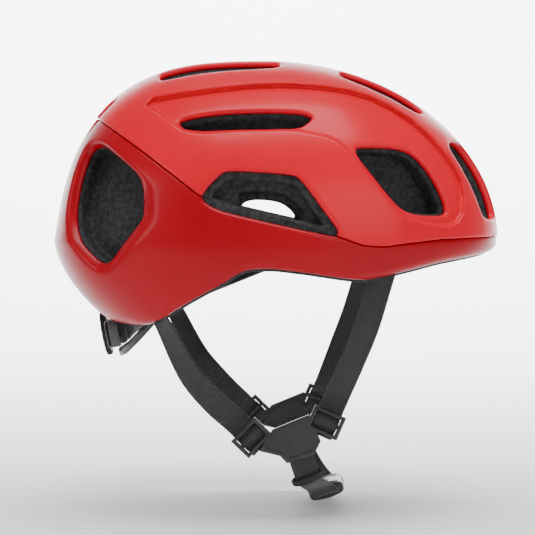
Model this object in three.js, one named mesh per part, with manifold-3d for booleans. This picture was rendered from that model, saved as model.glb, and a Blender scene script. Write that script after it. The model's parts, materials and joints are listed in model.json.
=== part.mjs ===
// A road cycling helmet: a two-part painted shell on a foam liner, a rear fit cradle with its dial,
// and a webbing harness with dividers and a side-release buckle. Millimetres, +X front, +Y the
// wearer's left, +Z up. The origin is the centre of the head's largest girth.
import * as THREE from 'three';
import { mergeVertices } from 'three/addons/utils/BufferGeometryUtils.js';
import Module from 'manifold-3d';

const wasm = await Module();
wasm.setup();

// Outer form: height of the crown and reach of each side from the origin.
const CROWN = 112.5;
const FRONT = 145;
const REAR = 134;
const HALF_WIDTH = 106;
const LOWEST = -60;

// Head opening in the foam.
const HEAD_CROWN = 86;
const HEAD_FRONT = 104;
const HEAD_REAR = 100;
const HEAD_HALF_WIDTH = 81;
const HEAD_LOWEST = -80;

// Walls, gaps and webbing.
const SKIN = 1.6;
const GAP = 0.3;
const RIM_DROP = 1.2;
const WEB_WIDTH = 15;
const WEB_THICK = 1.6;

// Edge of the helmet seen from the side, rear to front: [x, z].
const RIM = [
  [-150, -50], [-104, -50], [-90, -50], [-76, -50.2], [-70, -49.5], [-60, -44], [-46, -34.7],
  [-25, -23], [-16, -16.8], [-8, -14.9], [4, -14.9], [25, -17.6], [47, -21.2], [58, -21.8],
  [75, -18.5], [103, -12], [138, -7], [160, -4],
];

// Line where the upper shell meets the lower one, rear to front: [x, z].
const SEAM = [
  [-170, 112], [-112, 80], [-96, 70], [-75, 55], [-39, 27.5], [42.8, 3.5], [55, -1], [68, -2],
  [83, 0], [103, 2], [170, 3.5],
];

// Fit cradle: pivot on the temple pins, and the frame of the dial mechanism.
const TEMPLE = [25, 0];
const DIAL_AT = [-92, 0, -57];
const DIAL_TILT = THREE.MathUtils.degToRad(11);
const PINION_TEETH = 10;
const TOOTH_MODULE = 0.9;

// Harness: where the straps leave the rim, the plane of each divider, and the buckle's frame.
const FRONT_EXIT = [66, 80, -25];
const REAR_EXIT = [-60.5, 73.5, -51];
const DIVIDER_Y = 65;
const DIVIDER_THICK = 3.6;
const BUCKLE_AT = [37, 0, -156];
const BUCKLE_TILT = THREE.MathUtils.degToRad(17);

const finish = (color, roughness, metalness = 0) =>
  new THREE.MeshStandardMaterial({ color, roughness, metalness });
const paint = finish(0xe01420, 0.22);
const paintDark = finish(0xb5101a, 0.26);
const foam = finish(0x232526, 0.85);
const padding = finish(0x1b1c1e, 0.95);
const plastic = finish(0x1f2022, 0.45);
const plasticGrey = finish(0x55585a, 0.5);
const rubber = finish(0x161718, 0.8);
const webbing = finish(0x26272a, 0.9);

const helmet = new THREE.Group();

function add(name, geometry, material, parent = helmet) {
  const mesh = new THREE.Mesh(geometry, material);
  mesh.name = name;
  parent.add(mesh);
  return mesh;
}

// Booleans -------------------------------------------------------------------------------------

function solid(geometry) {
  const bare = geometry.clone();
  bare.deleteAttribute('normal');
  bare.deleteAttribute('uv');
  const merged = mergeVertices(bare, 1e-4);
  return new wasm.Manifold(new wasm.Mesh({
    numProp: 3,
    vertProperties: new Float32Array(merged.attributes.position.array),
    triVerts: new Uint32Array(merged.index.array),
  }));
}

function geometryOf(manifold) {
  const mesh = manifold.getMesh();
  const geometry = new THREE.BufferGeometry();
  geometry.setAttribute('position', new THREE.BufferAttribute(mesh.vertProperties, 3));
  geometry.setIndex(new THREE.BufferAttribute(mesh.triVerts, 1));
  geometry.computeVertexNormals();
  return geometry;
}

// The largest of the separate bodies a cut may leave.
function mainBody(manifold) {
  return manifold.decompose().reduce((best, piece) => (piece.volume() > best.volume() ? piece : best));
}

function box(sizeX, sizeY, sizeZ, x = 0, y = 0, z = 0) {
  return new THREE.BoxGeometry(sizeX, sizeY, sizeZ).translate(x, y, z);
}

// Helmet and head forms ------------------------------------------------------------------------

// One quadrant of a superellipse: 1 at ratio 0, 0 at ratio 1.
function arc(ratio, power) {
  return Math.pow(Math.max(0, 1 - Math.pow(Math.min(1, Math.abs(ratio)), power)), 1 / power);
}

// Reach of the outer form at a level: front, rear and side.
function outerReach(z, inset = 0) {
  const crown = CROWN - inset;
  if (z > 0) {
    return {
      front: (FRONT - inset) * arc(z / crown, 1.97),
      rear: (REAR - inset - 0.16 * z) * arc(z / crown, 3),
      side: (HALF_WIDTH - inset) * arc(z / crown, 2.1),
    };
  }
  return {
    front: (FRONT - inset) * arc(Math.max(z, -44.9) / 45, 2),
    rear: 80 - inset + 54 * arc(z / LOWEST, 1.5),
    side: (HALF_WIDTH - inset) * arc(z / 95, 2),
  };
}

function headReach(z) {
  const rise = arc(Math.max(0, z) / HEAD_CROWN, 2.3);
  return { front: HEAD_FRONT * rise, rear: HEAD_REAR * rise, side: HEAD_HALF_WIDTH * rise };
}

const OUTER_FRONT_POWER = 2.15;
const OUTER_REAR_POWER = 2.5;
const HEAD_POWER = 2.2;

// A sphere whose rings are stretched to the reach of each level.
function stacked(reach, crown, lowest, frontPower, rearPower, around, rings) {
  const geometry = new THREE.SphereGeometry(1, around, rings).rotateX(Math.PI / 2);
  const position = geometry.attributes.position;
  for (let i = 0; i < position.count; i += 1) {
    const level = position.getZ(i);
    const radial = Math.hypot(position.getX(i), position.getY(i));
    const z = level > 0 ? crown * level : -lowest * level;
    if (radial < 1e-6) {
      position.setXYZ(i, 0, 0, z);
      continue;
    }
    const cos = position.getX(i) / radial;
    const sin = position.getY(i) / radial;
    const size = reach(z);
    const length = cos > 0 ? size.front : size.rear;
    const power = 2 / (cos > 0 ? frontPower : rearPower);
    position.setXYZ(i, Math.sign(cos) * length * Math.abs(cos) ** power,
      Math.sign(sin) * size.side * Math.abs(sin) ** power, z);
  }
  return geometry;
}

function outerForm(inset) {
  return solid(stacked((z) => outerReach(z, inset), CROWN - inset, LOWEST,
    OUTER_FRONT_POWER, OUTER_REAR_POWER, 32, 18));
}

function headForm() {
  return solid(stacked(headReach, HEAD_CROWN, HEAD_LOWEST, HEAD_POWER, HEAD_POWER, 24, 12));
}

// Points of the outer form under a side, top or end view.
function fromSide([x, z]) {
  const size = outerReach(z);
  const length = x > 0 ? size.front : size.rear;
  return new THREE.Vector3(x, -size.side * arc(x / length, x > 0 ? OUTER_FRONT_POWER : OUTER_REAR_POWER), z);
}

function fromEnd(sign) {
  return ([y, z]) => {
    const size = outerReach(z);
    const power = sign > 0 ? OUTER_FRONT_POWER : OUTER_REAR_POWER;
    return new THREE.Vector3(sign * (sign > 0 ? size.front : size.rear) * arc(y / size.side, power), y, z);
  };
}

function fromAbove([x, y]) {
  let low = 0;
  let high = CROWN;
  while (high - low > 0.01) {
    const z = (low + high) / 2;
    const point = fromSide([x, z]);
    if (Math.abs(x) < (x > 0 ? outerReach(z).front : outerReach(z).rear) && -point.y > Math.abs(y)) {
      low = z;
    } else {
      high = z;
    }
  }
  return new THREE.Vector3(x, y, low);
}

// Prism whose sides run along `into` and pass through every point.
function prismThrough(points, into, outside, inside) {
  const axis = new THREE.Vector3(...into).normalize();
  const across = new THREE.Vector3(0, 0, 1).cross(axis);
  if (across.length() < 0.3) {
    across.set(0, 1, 0).cross(axis);
  }
  across.normalize();
  const up = axis.clone().cross(across);
  const depths = points.map((point) => point.dot(axis));
  const start = Math.min(...depths) - outside;
  const length = Math.max(...depths) + inside - start;
  const shape = new THREE.Shape(points.map((point) => new THREE.Vector2(point.dot(across), point.dot(up))));
  const geometry = new THREE.ExtrudeGeometry(shape, { depth: length, bevelEnabled: false });
  geometry.applyMatrix4(new THREE.Matrix4().makeBasis(across, up, axis));
  return geometry.translate(...axis.multiplyScalar(start).toArray());
}

// Prism across the whole width from an outline in the x-z plane.
function acrossWidth(outline, halfWidth = 150, atY = 0) {
  const points = outline.map(([x, z]) => new THREE.Vector3(x, atY, z));
  return prismThrough(points, [0, 1, 0], halfWidth, halfWidth);
}

const mirrored = (manifold) => manifold.mirror([0, 1, 0]);

// Vents of the right side, each an outline under one view, cut to `inside` below its deepest point.
// The foam's opening is smaller by the factor `lip`. The side vent is a ledge round a window that
// goes right through, and the rear vent is a closed pocket.
const VENTS = [
  { view: fromSide, into: [0, 1, 0], lip: 0.88, inside: 6.5, window: [
    [-18, 20], [-13, 24.6], [2, 24.6], [13, 21], [21, 11.5], [-1.5, 15.8] ], outline: [
    [-39, 27], [-25.5, 41], [-22, 42], [14, 40], [19, 37], [32, 19], [43, 3.5], [21, 7], [-18, 16],
    [-32, 20] ] },
  { view: fromSide, into: [0.6, 0.8, -0.05], lip: 0.82, inside: 9, outline: [
    [-110, 60], [-101, 61], [-93, 56], [-70, 37], [-66, 31], [-65.5, 16], [-68, 10], [-90, -16],
    [-97, -18], [-104, -16.5], [-119, -1], [-122, 12], [-121, 26], [-116, 47] ] },
  { view: fromSide, into: [0, 0.62, -0.78], lip: 0.94, inside: 28, outline: [
    [-53.5, 74], [-48, 77.5], [-17, 81], [13, 81], [23, 80], [28, 76.5], [15.5, 68], [-46, 67.5] ] },
  { view: fromSide, into: [-0.45, 0.85, -0.2], lip: 0.92, inside: 24, outline: [
    [49.4, 57], [64, 58], [82, 57], [90, 53], [98, 44], [104, 34], [109, 22], [108, 16], [93, 16.5],
    [85, 18], [78, 22], [68, 33.5] ] },
  { view: fromAbove, into: [0, 0.2, -1], lip: 0.94, inside: 32, outline: [
    [-66, -38], [-60, -43], [-20, -42], [0, -40], [8, -36], [8, -24], [0, -20], [-60, -20], [-66, -25] ] },
  { view: fromAbove, into: [-0.3, 0.2, -1], lip: 0.94, inside: 32, outline: [
    [44, -36], [50, -40], [84, -42], [94, -38], [96, -26], [88, -19], [50, -19], [44, -24] ] },
  { view: fromEnd(1), into: [-1, 0.1, -0.25], lip: 0.92, inside: 30, outline: [
    [-42, 61], [-20, 61], [-15, 54], [-15, 20], [-20, 13], [-44, 13], [-49, 20], [-49, 52] ] },
  { view: fromEnd(-1), into: [1, 0.1, -0.35], lip: 0.92, inside: 30, outline: [
    [-30, 88], [-12, 88], [-9, 84], [-9, 68], [-13, 64], [-28, 64], [-34, 70], [-34, 82] ] },
];

// Cut on both sides along an outline.
function bothSides({ view, into }, outline, inside) {
  const right = solid(prismThrough(outline.map(view), into, 20, inside));
  return right.add(mirrored(right));
}

function ventCut(vent, scale) {
  const count = vent.outline.length;
  const middle = [0, 1].map((i) => vent.outline.reduce((sum, point) => sum + point[i], 0) / count);
  const outline = vent.outline.map(
    (point) => point.map((value, i) => middle[i] + (value - middle[i]) * scale));
  return bothSides(vent, outline, vent.inside);
}

const WINDOW_INSIDE = 35;
const shellVents = VENTS.map((vent) => ventCut(vent, 1)).reduce((all, cut) => all.add(cut));
const windows = VENTS.filter((vent) => vent.window)
  .map((vent) => bothSides(vent, vent.window, WINDOW_INSIDE));
const liningVents = VENTS.map((vent) => ventCut(vent, vent.lip)).concat(windows)
  .reduce((all, cut) => all.add(cut));

// Everything above the rim line, and above the seam line.
const above = (line, drop) => solid(acrossWidth([
  ...line.map(([x, z]) => [x, z - drop]), [line.at(-1)[0], 150], [line[0][0], 150],
]));

// Arch over the nape, where the cradle comes out.
function napeArch(grow) {
  const half = 34 + grow;
  const top = -24 + grow;
  const outline = [[-half, -90], [-half, top - 22], [-half + 4, top - 9], [-half + 13, top],
    [half - 13, top], [half - 4, top - 9], [half, top - 22], [half, -90]];
  const points = outline.map(([y, z]) => new THREE.Vector3(-100, y, z));
  return solid(prismThrough(points, [1, 0, 0], 60, 40));
}

// Shell and liner ------------------------------------------------------------------------------

const skin = outerForm(0).subtract(outerForm(SKIN)).intersect(above(RIM, 0))
  .subtract(napeArch(0)).subtract(shellVents);
add('upper_shell', geometryOf(mainBody(skin.intersect(above(SEAM, -GAP / 2)))), paint);
add('lower_shell', geometryOf(mainBody(skin.subtract(above(SEAM, GAP / 2)))), paintDark);

// Pins: the cradle's temple pivots and the peg of its height strip.
const cylinder = (radius, length, segments = 20) =>
  new THREE.CylinderGeometry(radius, radius, length, segments);
const PIN_RADIUS = 3;
function templePin(side, grow) {
  const head = cylinder(5.2 + grow, 1.6 + grow).translate(0, -side * 3.6, 0);
  const pin = solid(cylinder(PIN_RADIUS + grow, 12).translate(0, side * 2, 0)).add(solid(head));
  return pin.translate([TEMPLE[0], side * 75.5, TEMPLE[1]]);
}
const pegAt = [-97, 0, -17];
const peg = (radius) => solid(cylinder(radius, 14, 16).rotateZ(Math.PI / 2)).translate(pegAt);

// Strap anchors fill pockets in the rim, flush with its edge.
const lining = outerForm(SKIN + GAP).intersect(above(RIM, RIM_DROP)).subtract(headForm())
  .subtract(napeArch(-RIM_DROP)).subtract(liningVents);
const ANCHORS = {
  front: { exit: FRONT_EXIT, top: -10 },
  rear: { exit: REAR_EXIT, top: -32 },
};
const anchorBlock = ({ exit, top }, side, grow) => solid(
  box(12 + grow, 5 + grow, 60 + grow, exit[0], side * exit[1], top - 30));
let pockets = peg(2 + GAP);
for (const side of [-1, 1]) {
  const handed = side < 0 ? 'right' : 'left';
  for (const [place, anchor] of Object.entries(ANCHORS)) {
    pockets = pockets.add(anchorBlock(anchor, side, 2 * GAP));
    const block = anchorBlock(anchor, side, 0).intersect(above(RIM, RIM_DROP));
    add(`${place}_anchor_${handed}`, geometryOf(mainBody(block)), plastic);
  }
  pockets = pockets.add(templePin(side, GAP));
}
add('foam_liner', geometryOf(mainBody(lining.subtract(pockets))), foam);
add('temple_pin_right', geometryOf(templePin(-1, 0)), plasticGrey);
add('temple_pin_left', geometryOf(templePin(1, 0)), plasticGrey);
add('height_peg', geometryOf(peg(2)), plasticGrey);

// Pads -----------------------------------------------------------------------------------------

const PAD_THICK = 5;
const PAD_GAP = 2;

// A slab bent onto the head form: `place` maps (u, v, depth) to a point.
function bentSlab(place, alongU, alongV) {
  const geometry = new THREE.BoxGeometry(1, 1, 1, alongU, alongV, 1);
  const position = geometry.attributes.position;
  for (let i = 0; i < position.count; i += 1) {
    const point = place(position.getX(i), position.getY(i), position.getZ(i));
    position.setXYZ(i, ...point);
  }
  return geometry;
}

// A point inside the head opening, at an angle from the front, a level and a depth from the foam.
function onHeadBand(angle, z, depth) {
  const size = headReach(z);
  const cos = Math.cos(angle);
  const sin = Math.sin(angle);
  const length = (cos > 0 ? size.front : size.rear) - depth;
  return [Math.sign(cos) * length * Math.abs(cos) ** (2 / HEAD_POWER),
    Math.sign(sin) * (size.side - depth) * Math.abs(sin) ** (2 / HEAD_POWER), z];
}

function bandPad(middle, sweep, low, high) {
  const radians = THREE.MathUtils.degToRad;
  return bentSlab((u, v, w) => onHeadBand(radians(middle) + u * radians(sweep),
    (low + high) / 2 + v * (high - low), PAD_GAP + (0.5 - w) * PAD_THICK), Math.ceil(sweep / 12), 2);
}
add('brow_pad', bandPad(0, 84, -6, 14), padding);
add('temple_pad_right', bandPad(-56, 20, -4, 16), padding);
add('temple_pad_left', bandPad(56, 20, -4, 16), padding);

function crownHeight(x, y) {
  const spread = Math.abs(x / (x > 0 ? HEAD_FRONT : HEAD_REAR)) ** HEAD_POWER
    + Math.abs(y / HEAD_HALF_WIDTH) ** HEAD_POWER;
  return HEAD_CROWN * arc(spread ** (1 / HEAD_POWER), 2.3);
}

function crownPad(length, width, x, y) {
  return bentSlab((u, v, w) => [x + u * length, y + v * width,
    crownHeight(x + u * length, y + v * width) - PAD_GAP - (0.5 - w) * PAD_THICK], Math.ceil(length / 14), 2);
}
add('crown_pad_center', crownPad(110, 16, 0, 0), padding);
add('crown_pad_right', crownPad(76, 13, -4, -47), padding);
add('crown_pad_left', crownPad(76, 13, -4, 47), padding);

// Bands and webbing ----------------------------------------------------------------------------

// Directions and place on a smooth path whose width turns between the given directions.
function pathFrame(path, widths) {
  const points = path.map((point) => new THREE.Vector3(...point));
  const curve = new THREE.CatmullRomCurve3(points, false, 'centripetal');
  const turns = widths.map((direction) => new THREE.Vector3(...direction));
  return (t) => {
    const place = t * (turns.length - 1);
    const from = Math.min(Math.floor(place), turns.length - 2);
    const across = turns[from].clone().lerp(turns[from + 1], place - from);
    const along = curve.getTangentAt(t);
    across.addScaledVector(along, -across.dot(along)).normalize();
    const normal = along.clone().cross(across);
    return new THREE.Matrix4().makeBasis(across, normal, along).setPosition(curve.getPointAt(t));
  };
}

// A flat band along the path.
function band(path, widths, width, thick, steps) {
  const frame = pathFrame(path, widths);
  const geometry = new THREE.BoxGeometry(width, thick, 1, 1, 1, steps);
  const position = geometry.attributes.position;
  for (let i = 0; i < position.count; i += 1) {
    const t = THREE.MathUtils.clamp(position.getZ(i) + 0.5, 0, 1);
    const point = new THREE.Vector3(position.getX(i), position.getY(i), 0).applyMatrix4(frame(t));
    position.setXYZ(i, ...point.toArray());
  }
  return geometry;
}

// Fit cradle -----------------------------------------------------------------------------------

const cradle = new THREE.Group();
cradle.position.set(...DIAL_AT);
const outward = new THREE.Vector3(-Math.cos(DIAL_TILT), 0, -Math.sin(DIAL_TILT));
const upward = new THREE.Vector3(-Math.sin(DIAL_TILT), 0, Math.cos(DIAL_TILT));
cradle.quaternion.setFromRotationMatrix(
  new THREE.Matrix4().makeBasis(new THREE.Vector3(0, -1, 0), upward, outward));
helmet.add(cradle);

const HOUSING_WIDTH = 56;
const HOUSING_HEIGHT = 17;
const HOUSING_DEPTH = 6;

function roundedSlab(width, height, depth, radius, z) {
  const shape = new THREE.Shape();
  const x = width / 2 - radius;
  const y = height / 2 - radius;
  shape.absarc(x, y, radius, 0, Math.PI / 2);
  shape.absarc(-x, y, radius, Math.PI / 2, Math.PI);
  shape.absarc(-x, -y, radius, Math.PI, 1.5 * Math.PI);
  shape.absarc(x, -y, radius, 1.5 * Math.PI, 2 * Math.PI);
  return new THREE.ExtrudeGeometry(shape, { depth, bevelEnabled: false, curveSegments: 4 }).translate(0, 0, z);
}

const tray = solid(roundedSlab(HOUSING_WIDTH, HOUSING_HEIGHT, HOUSING_DEPTH, 5, 0))
  .subtract(solid(roundedSlab(HOUSING_WIDTH - 3, HOUSING_HEIGHT - 2.6, HOUSING_DEPTH, 3.5, 1.5)));
add('dial_housing', geometryOf(tray), plasticGrey, cradle);
const coverHole = cylinder(3.2, 10).rotateX(Math.PI / 2).translate(0, 0, 7);
const cover = solid(roundedSlab(HOUSING_WIDTH, HOUSING_HEIGHT, 1.5, 5, HOUSING_DEPTH + GAP));
add('housing_cover', geometryOf(cover.subtract(solid(coverHole))), plastic, cradle);

// Dial: knob on a short shaft, its ribbed grip, and the pinion behind the cover.
const KNOB_FROM = 8.2;
const KNOB_THICK = 3.5;
const knobProfile = [
  [0, 6], [2.6, 6], [2.6, KNOB_FROM], [12, KNOB_FROM], [12, 11.2], [11.5, 11.7], [0, 11.7]];
const knob = new THREE.LatheGeometry(knobProfile.map(([r, z]) => new THREE.Vector2(r, z)), 32);
add('dial_knob', knob.rotateX(Math.PI / 2), plastic, cradle);

function toothedOutline(count, profile) {
  const points = [];
  for (let tooth = 0; tooth < count; tooth += 1) {
    for (const [share, radius] of profile) {
      const angle = 2 * Math.PI * (tooth + share) / count;
      points.push(new THREE.Vector2(radius * Math.cos(angle), radius * Math.sin(angle)));
    }
  }
  return new THREE.Shape(points);
}
const grip = toothedOutline(24, [[0, 13.3], [0.25, 14], [0.5, 14], [0.75, 13.3]]);
grip.holes.push(new THREE.Path().absarc(0, 0, 12 + GAP, 0, 2 * Math.PI));
const gripRing = new THREE.ExtrudeGeometry(
  grip, { depth: KNOB_THICK, bevelEnabled: false, curveSegments: 16 });
add('dial_grip', gripRing.translate(0, 0, KNOB_FROM), rubber, cradle);

const PITCH_RADIUS = TOOTH_MODULE * PINION_TEETH / 2;
const TIP = 0.7;
const ROOT = 0.95;
const pinionShape = toothedOutline(PINION_TEETH, [
  [-0.3, PITCH_RADIUS - ROOT], [-0.12, PITCH_RADIUS + TIP], [0.12, PITCH_RADIUS + TIP],
  [0.3, PITCH_RADIUS - ROOT],
]);
const pinion = new THREE.ExtrudeGeometry(pinionShape, { depth: 3.8, bevelEnabled: false });
add('pinion', pinion.rotateZ(Math.PI / 2).translate(0, 0, 1.9), plasticGrey, cradle);

// A rack on one side of the pinion, teeth towards it.
function rack(from, count) {
  const pitch = Math.PI * TOOTH_MODULE;
  const points = [];
  for (let tooth = 0; tooth < count; tooth += 1) {
    const middle = from + (tooth + 0.5) * pitch;
    points.push([middle - 0.3 * pitch, ROOT], [middle - 0.12 * pitch, -TIP],
      [middle + 0.12 * pitch, -TIP], [middle + 0.3 * pitch, ROOT]);
  }
  points.push([from + count * pitch, 2], [from, 2]);
  const shape = new THREE.Shape(points.map(([x, y]) => new THREE.Vector2(x, PITCH_RADIUS + y)));
  return new THREE.ExtrudeGeometry(shape, { depth: 3.4, bevelEnabled: false }).translate(0, 0, 2.1);
}
const RACK_TEETH = 11;
const RACK_FROM = -8 * Math.PI * TOOTH_MODULE;
add('rack_left', rack(RACK_FROM, RACK_TEETH), plastic, cradle);
add('rack_right', rack(RACK_FROM, RACK_TEETH).rotateZ(Math.PI), plastic, cradle);

// Pads that rest on the back of the head.
for (const side of [-1, 1]) {
  const pad = roundedSlab(20, 15, 4, 4, -4 - GAP).translate(-side * 15, 0, 0);
  add(side < 0 ? 'occipital_pad_right' : 'occipital_pad_left', pad, padding, cradle);
}

// Arms from the housing round to the temple pins.
const ARM_PATH = [[-86.5, 29.5, -55], [-77, 49, -46], [-55, 65, -33], [-20, 73, -18], [10, 75, -6],
  [TEMPLE[0], 75.5, TEMPLE[1]]];
function arm(side) {
  const path = ARM_PATH.map(([x, y, z]) => [x, side * y, z]);
  const strip = solid(band(path, [[-0.1, 0, 1], [0.3, 0, 1]], 12, 1.8, 18));
  const eye = solid(cylinder(8, 1.8, 24)).translate([TEMPLE[0], side * 75.5, TEMPLE[1]]);
  const hole = solid(cylinder(PIN_RADIUS + GAP, 9)).translate([TEMPLE[0], side * 75.5, TEMPLE[1]]);
  return geometryOf(mainBody(strip.add(eye).subtract(hole)));
}
add('cradle_arm_right', arm(-1), plastic);
add('cradle_arm_left', arm(1), plastic);

const bandPath = [[-82, -34, -61.5], [-88, -22, -67.5], [-92, -8, -70], [-92, 8, -70], [-88, 22, -67.5],
  [-82, 34, -61.5]];
add('cradle_band', band(bandPath, [[-0.2, 0, 1], [-0.2, 0, 1]], 5, 2.2, 14), plastic);

const stripPath = [[-90.5, 0, -47], [-92.5, 0, -30], [-92, 0, -1]];
const stripSlot = solid(box(20, 4 + 2 * GAP, 28, -92, 0, -17.5));
const heightStrip = solid(band(stripPath, [[0, 1, 0], [0, 1, 0]], 12, 1.6, 8)).subtract(stripSlot);
add('height_strip', geometryOf(heightStrip), plastic);

// Harness --------------------------------------------------------------------------------------

const buckle = new THREE.Group();
buckle.position.set(...BUCKLE_AT);
buckle.rotation.y = -BUCKLE_TILT;
helmet.add(buckle);

// Frames of the divider that the front and rear straps thread through: middle and strap direction.
const FRONT_FRAME = { middle: [35, -108], along: [-0.404, -0.915] };
const REAR_FRAME = { middle: [-9.5, -117], along: [0.72, -0.694] };
const WINDOW_LENGTH = 10.6;
const WINDOW_WIDTH = 16.2;
const FRAME_BAR = 2.1;
const BACK_BAR = { near: -2.6, far: -4.2, length: 2.4 };

function frameOutline({ middle, along }, width, length) {
  const [ax, az] = along;
  return [[-1, -1], [1, -1], [1, 1], [-1, 1]].map(([u, v]) => [
    middle[0] + (u * width * az - v * length * ax) / 2, middle[1] - (u * width * ax + v * length * az) / 2,
  ]);
}

// Bar across the back of a frame's window, which the webbing crosses on its outer side.
function backBar(frame, side) {
  const { near, far, length } = BACK_BAR;
  const outline = frameOutline(frame, WINDOW_WIDTH + 2 * FRAME_BAR, length);
  const reach = -far / 2;
  const bar = solid(acrossWidth(outline, reach, side * (DIVIDER_Y - reach)));
  const passage = frameOutline(frame, WINDOW_WIDTH, WINDOW_LENGTH);
  const above = -near;
  return bar.subtract(solid(acrossWidth(passage, above, side * DIVIDER_Y)));
}

function divider(side) {
  const plate = (outline, half) => solid(acrossWidth(outline, half, side * DIVIDER_Y));
  let whole = plate([[3, -112], [25, -103], [32, -119], [28, -127], [11.7, -132.4], [7.5, -128], [-5, -125]],
    DIVIDER_THICK / 2);
  for (const frame of [FRONT_FRAME, REAR_FRAME]) {
    const outline = frameOutline(frame, WINDOW_WIDTH + 2 * FRAME_BAR, WINDOW_LENGTH + 2 * FRAME_BAR);
    whole = whole.add(plate(outline, DIVIDER_THICK / 2));
  }
  for (const frame of [FRONT_FRAME, REAR_FRAME]) {
    whole = whole.subtract(plate(frameOutline(frame, WINDOW_WIDTH, WINDOW_LENGTH), DIVIDER_THICK))
      .add(backBar(frame, side));
  }
  return geometryOf(whole);
}

// End of a strap's path: behind the frame's upper bar, over its back bar, behind its lower bar.
function threaded({ middle, along }) {
  const stations = [[-12, -4.4], [-7, -3.9], [0, -0.9], [6.6, -3.8], [9, -3.9]];
  return stations.map(
    ([s, out]) => [middle[0] + along[0] * s, DIVIDER_Y + out, middle[1] + along[1] * s]);
}

const FRONT_STRAP = [FRONT_EXIT, [58.5, 76.5, -50], [50, 70.5, -72], ...threaded(FRONT_FRAME)];
const REAR_STRAP = [REAR_EXIT, [-46, 70.5, -79], [-32, 66.5, -95.5], ...threaded(REAR_FRAME)];
const FRONT_WIDTH = [0.915, 0, -0.404];
const REAR_WIDTH = [0.694, 0, 0.72];
const FRONT_TURNS = [[0.9, 0.42, 0], [0.92, 0.15, -0.3], FRONT_WIDTH, FRONT_WIDTH];
const REAR_TURNS = [[0.5, 0.8, 0.3], [0.65, 0.5, 0.6], REAR_WIDTH, REAR_WIDTH];
const onSide = (side, path) => path.map(([x, y, z]) => [x, side * y, z]);

function strap(side, path, widths, steps) {
  return band(onSide(side, path), onSide(side, widths), WEB_WIDTH, WEB_THICK, steps);
}

const CHIN_TOP = [[19.5, 61.7, -121], [20.3, 61.5, -129], [25, 57, -142.5]];
const buckleLevel = (drop) => [
  BUCKLE_AT[0] + drop * Math.sin(BUCKLE_TILT), BUCKLE_AT[2] - drop * Math.cos(BUCKLE_TILT)];
const CHIN_WIDTH = [Math.cos(BUCKLE_TILT), 0, Math.sin(BUCKLE_TILT)];

// Straight stretch of the chin webbing beside the buckle, `drop` below its middle plane.
function chinPath(from, to, drop) {
  const [x, z] = buckleLevel(drop);
  const bend = [(x + 25) / 2 + 1.5, to + 6.5, z + 4.6];
  return [...CHIN_TOP, bend, [x, to, z], [x, (from + to) / 2, z], [x, from, z]];
}

// Oval loop that keeps the chin webbing's tail, `t` along the webbing.
function keeper(side, path, t) {
  const ring = new THREE.Shape().absellipse(0, 0, 10.5, 4, 0, 2 * Math.PI);
  const slot = [[-8, -1.4], [8, -1.4], [8, 1.4], [-8, 1.4]].map(([x, y]) => new THREE.Vector2(x, y));
  ring.holes.push(new THREE.Path(slot));
  const geometry = new THREE.ExtrudeGeometry(ring, { depth: 5, bevelEnabled: false, curveSegments: 8 });
  const place = pathFrame(onSide(side, path), [CHIN_WIDTH, CHIN_WIDTH])(t);
  return geometry.translate(0, 0, -2.5).applyMatrix4(place);
}

for (const side of [-1, 1]) {
  const handed = side < 0 ? 'right' : 'left';
  add(`front_strap_${handed}`, strap(side, FRONT_STRAP, FRONT_TURNS, 22), webbing);
  add(`rear_strap_${handed}`, strap(side, REAR_STRAP, REAR_TURNS, 22), webbing);
  add(`divider_${handed}`, divider(side), plastic);
}
const CHIN_RIGHT = chinPath(24.4, 31, 0);
const CHIN_LEFT = chinPath(9, 42, 4.4);
add('chin_strap_right', strap(-1, CHIN_RIGHT, [CHIN_WIDTH, CHIN_WIDTH], 16), webbing);
add('strap_keeper_right', keeper(-1, CHIN_RIGHT, 0.36), rubber);
add('chin_strap_left', strap(1, CHIN_LEFT, [CHIN_WIDTH, CHIN_WIDTH], 18), webbing);
add('strap_keeper_left', keeper(1, CHIN_LEFT, 0.26), rubber);

// Buckle: socket on the right webbing, tongue on the left, and its two sprung prongs.
const socketBody = solid(roundedSlab(24, 28, 9, 4, -4.5)).translate([0, -10, 0])
  .subtract(solid(box(18.4, 20, 5, 0, -4, 0)))
  .subtract(solid(box(30, 9, 4, 0, -5.5, 0)))
  .subtract(solid(box(16.4, 4.4, 12, 0, -19, 0)));
add('buckle_socket', geometryOf(mainBody(socketBody)), plastic, buckle);
const tongueBody = solid(roundedSlab(22, 14, 6.4, 3, -3.2)).translate([0, 11.4, 0])
  .add(solid(box(4, 16, 3.4, 0, -3, 0)))
  .subtract(solid(box(16.4, 2.6, 12, 0, 8.4, 0)))
  .subtract(solid(box(16.4, 2.6, 12, 0, 13.6, 0)));
add('buckle_tongue', geometryOf(mainBody(tongueBody)), plastic, buckle);
const prongShape = [[3.4, 4.1], [5.8, 4.1], [6.4, -1.5], [9, -2], [9, -5.5], [7, -9], [5.2, -9], [4, -2]];
for (const side of [-1, 1]) {
  const shape = new THREE.Shape(prongShape.map(([x, y]) => new THREE.Vector2(side * x, y)));
  const prong = new THREE.ExtrudeGeometry(shape, { depth: 3.2, bevelEnabled: false }).translate(0, 0, -1.6);
  add(side > 0 ? 'prong_front' : 'prong_rear', prong, plastic, buckle);
}

export default helmet;
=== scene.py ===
import json
import math

import bpy
import numpy as np
from mathutils import Matrix, Vector


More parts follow.
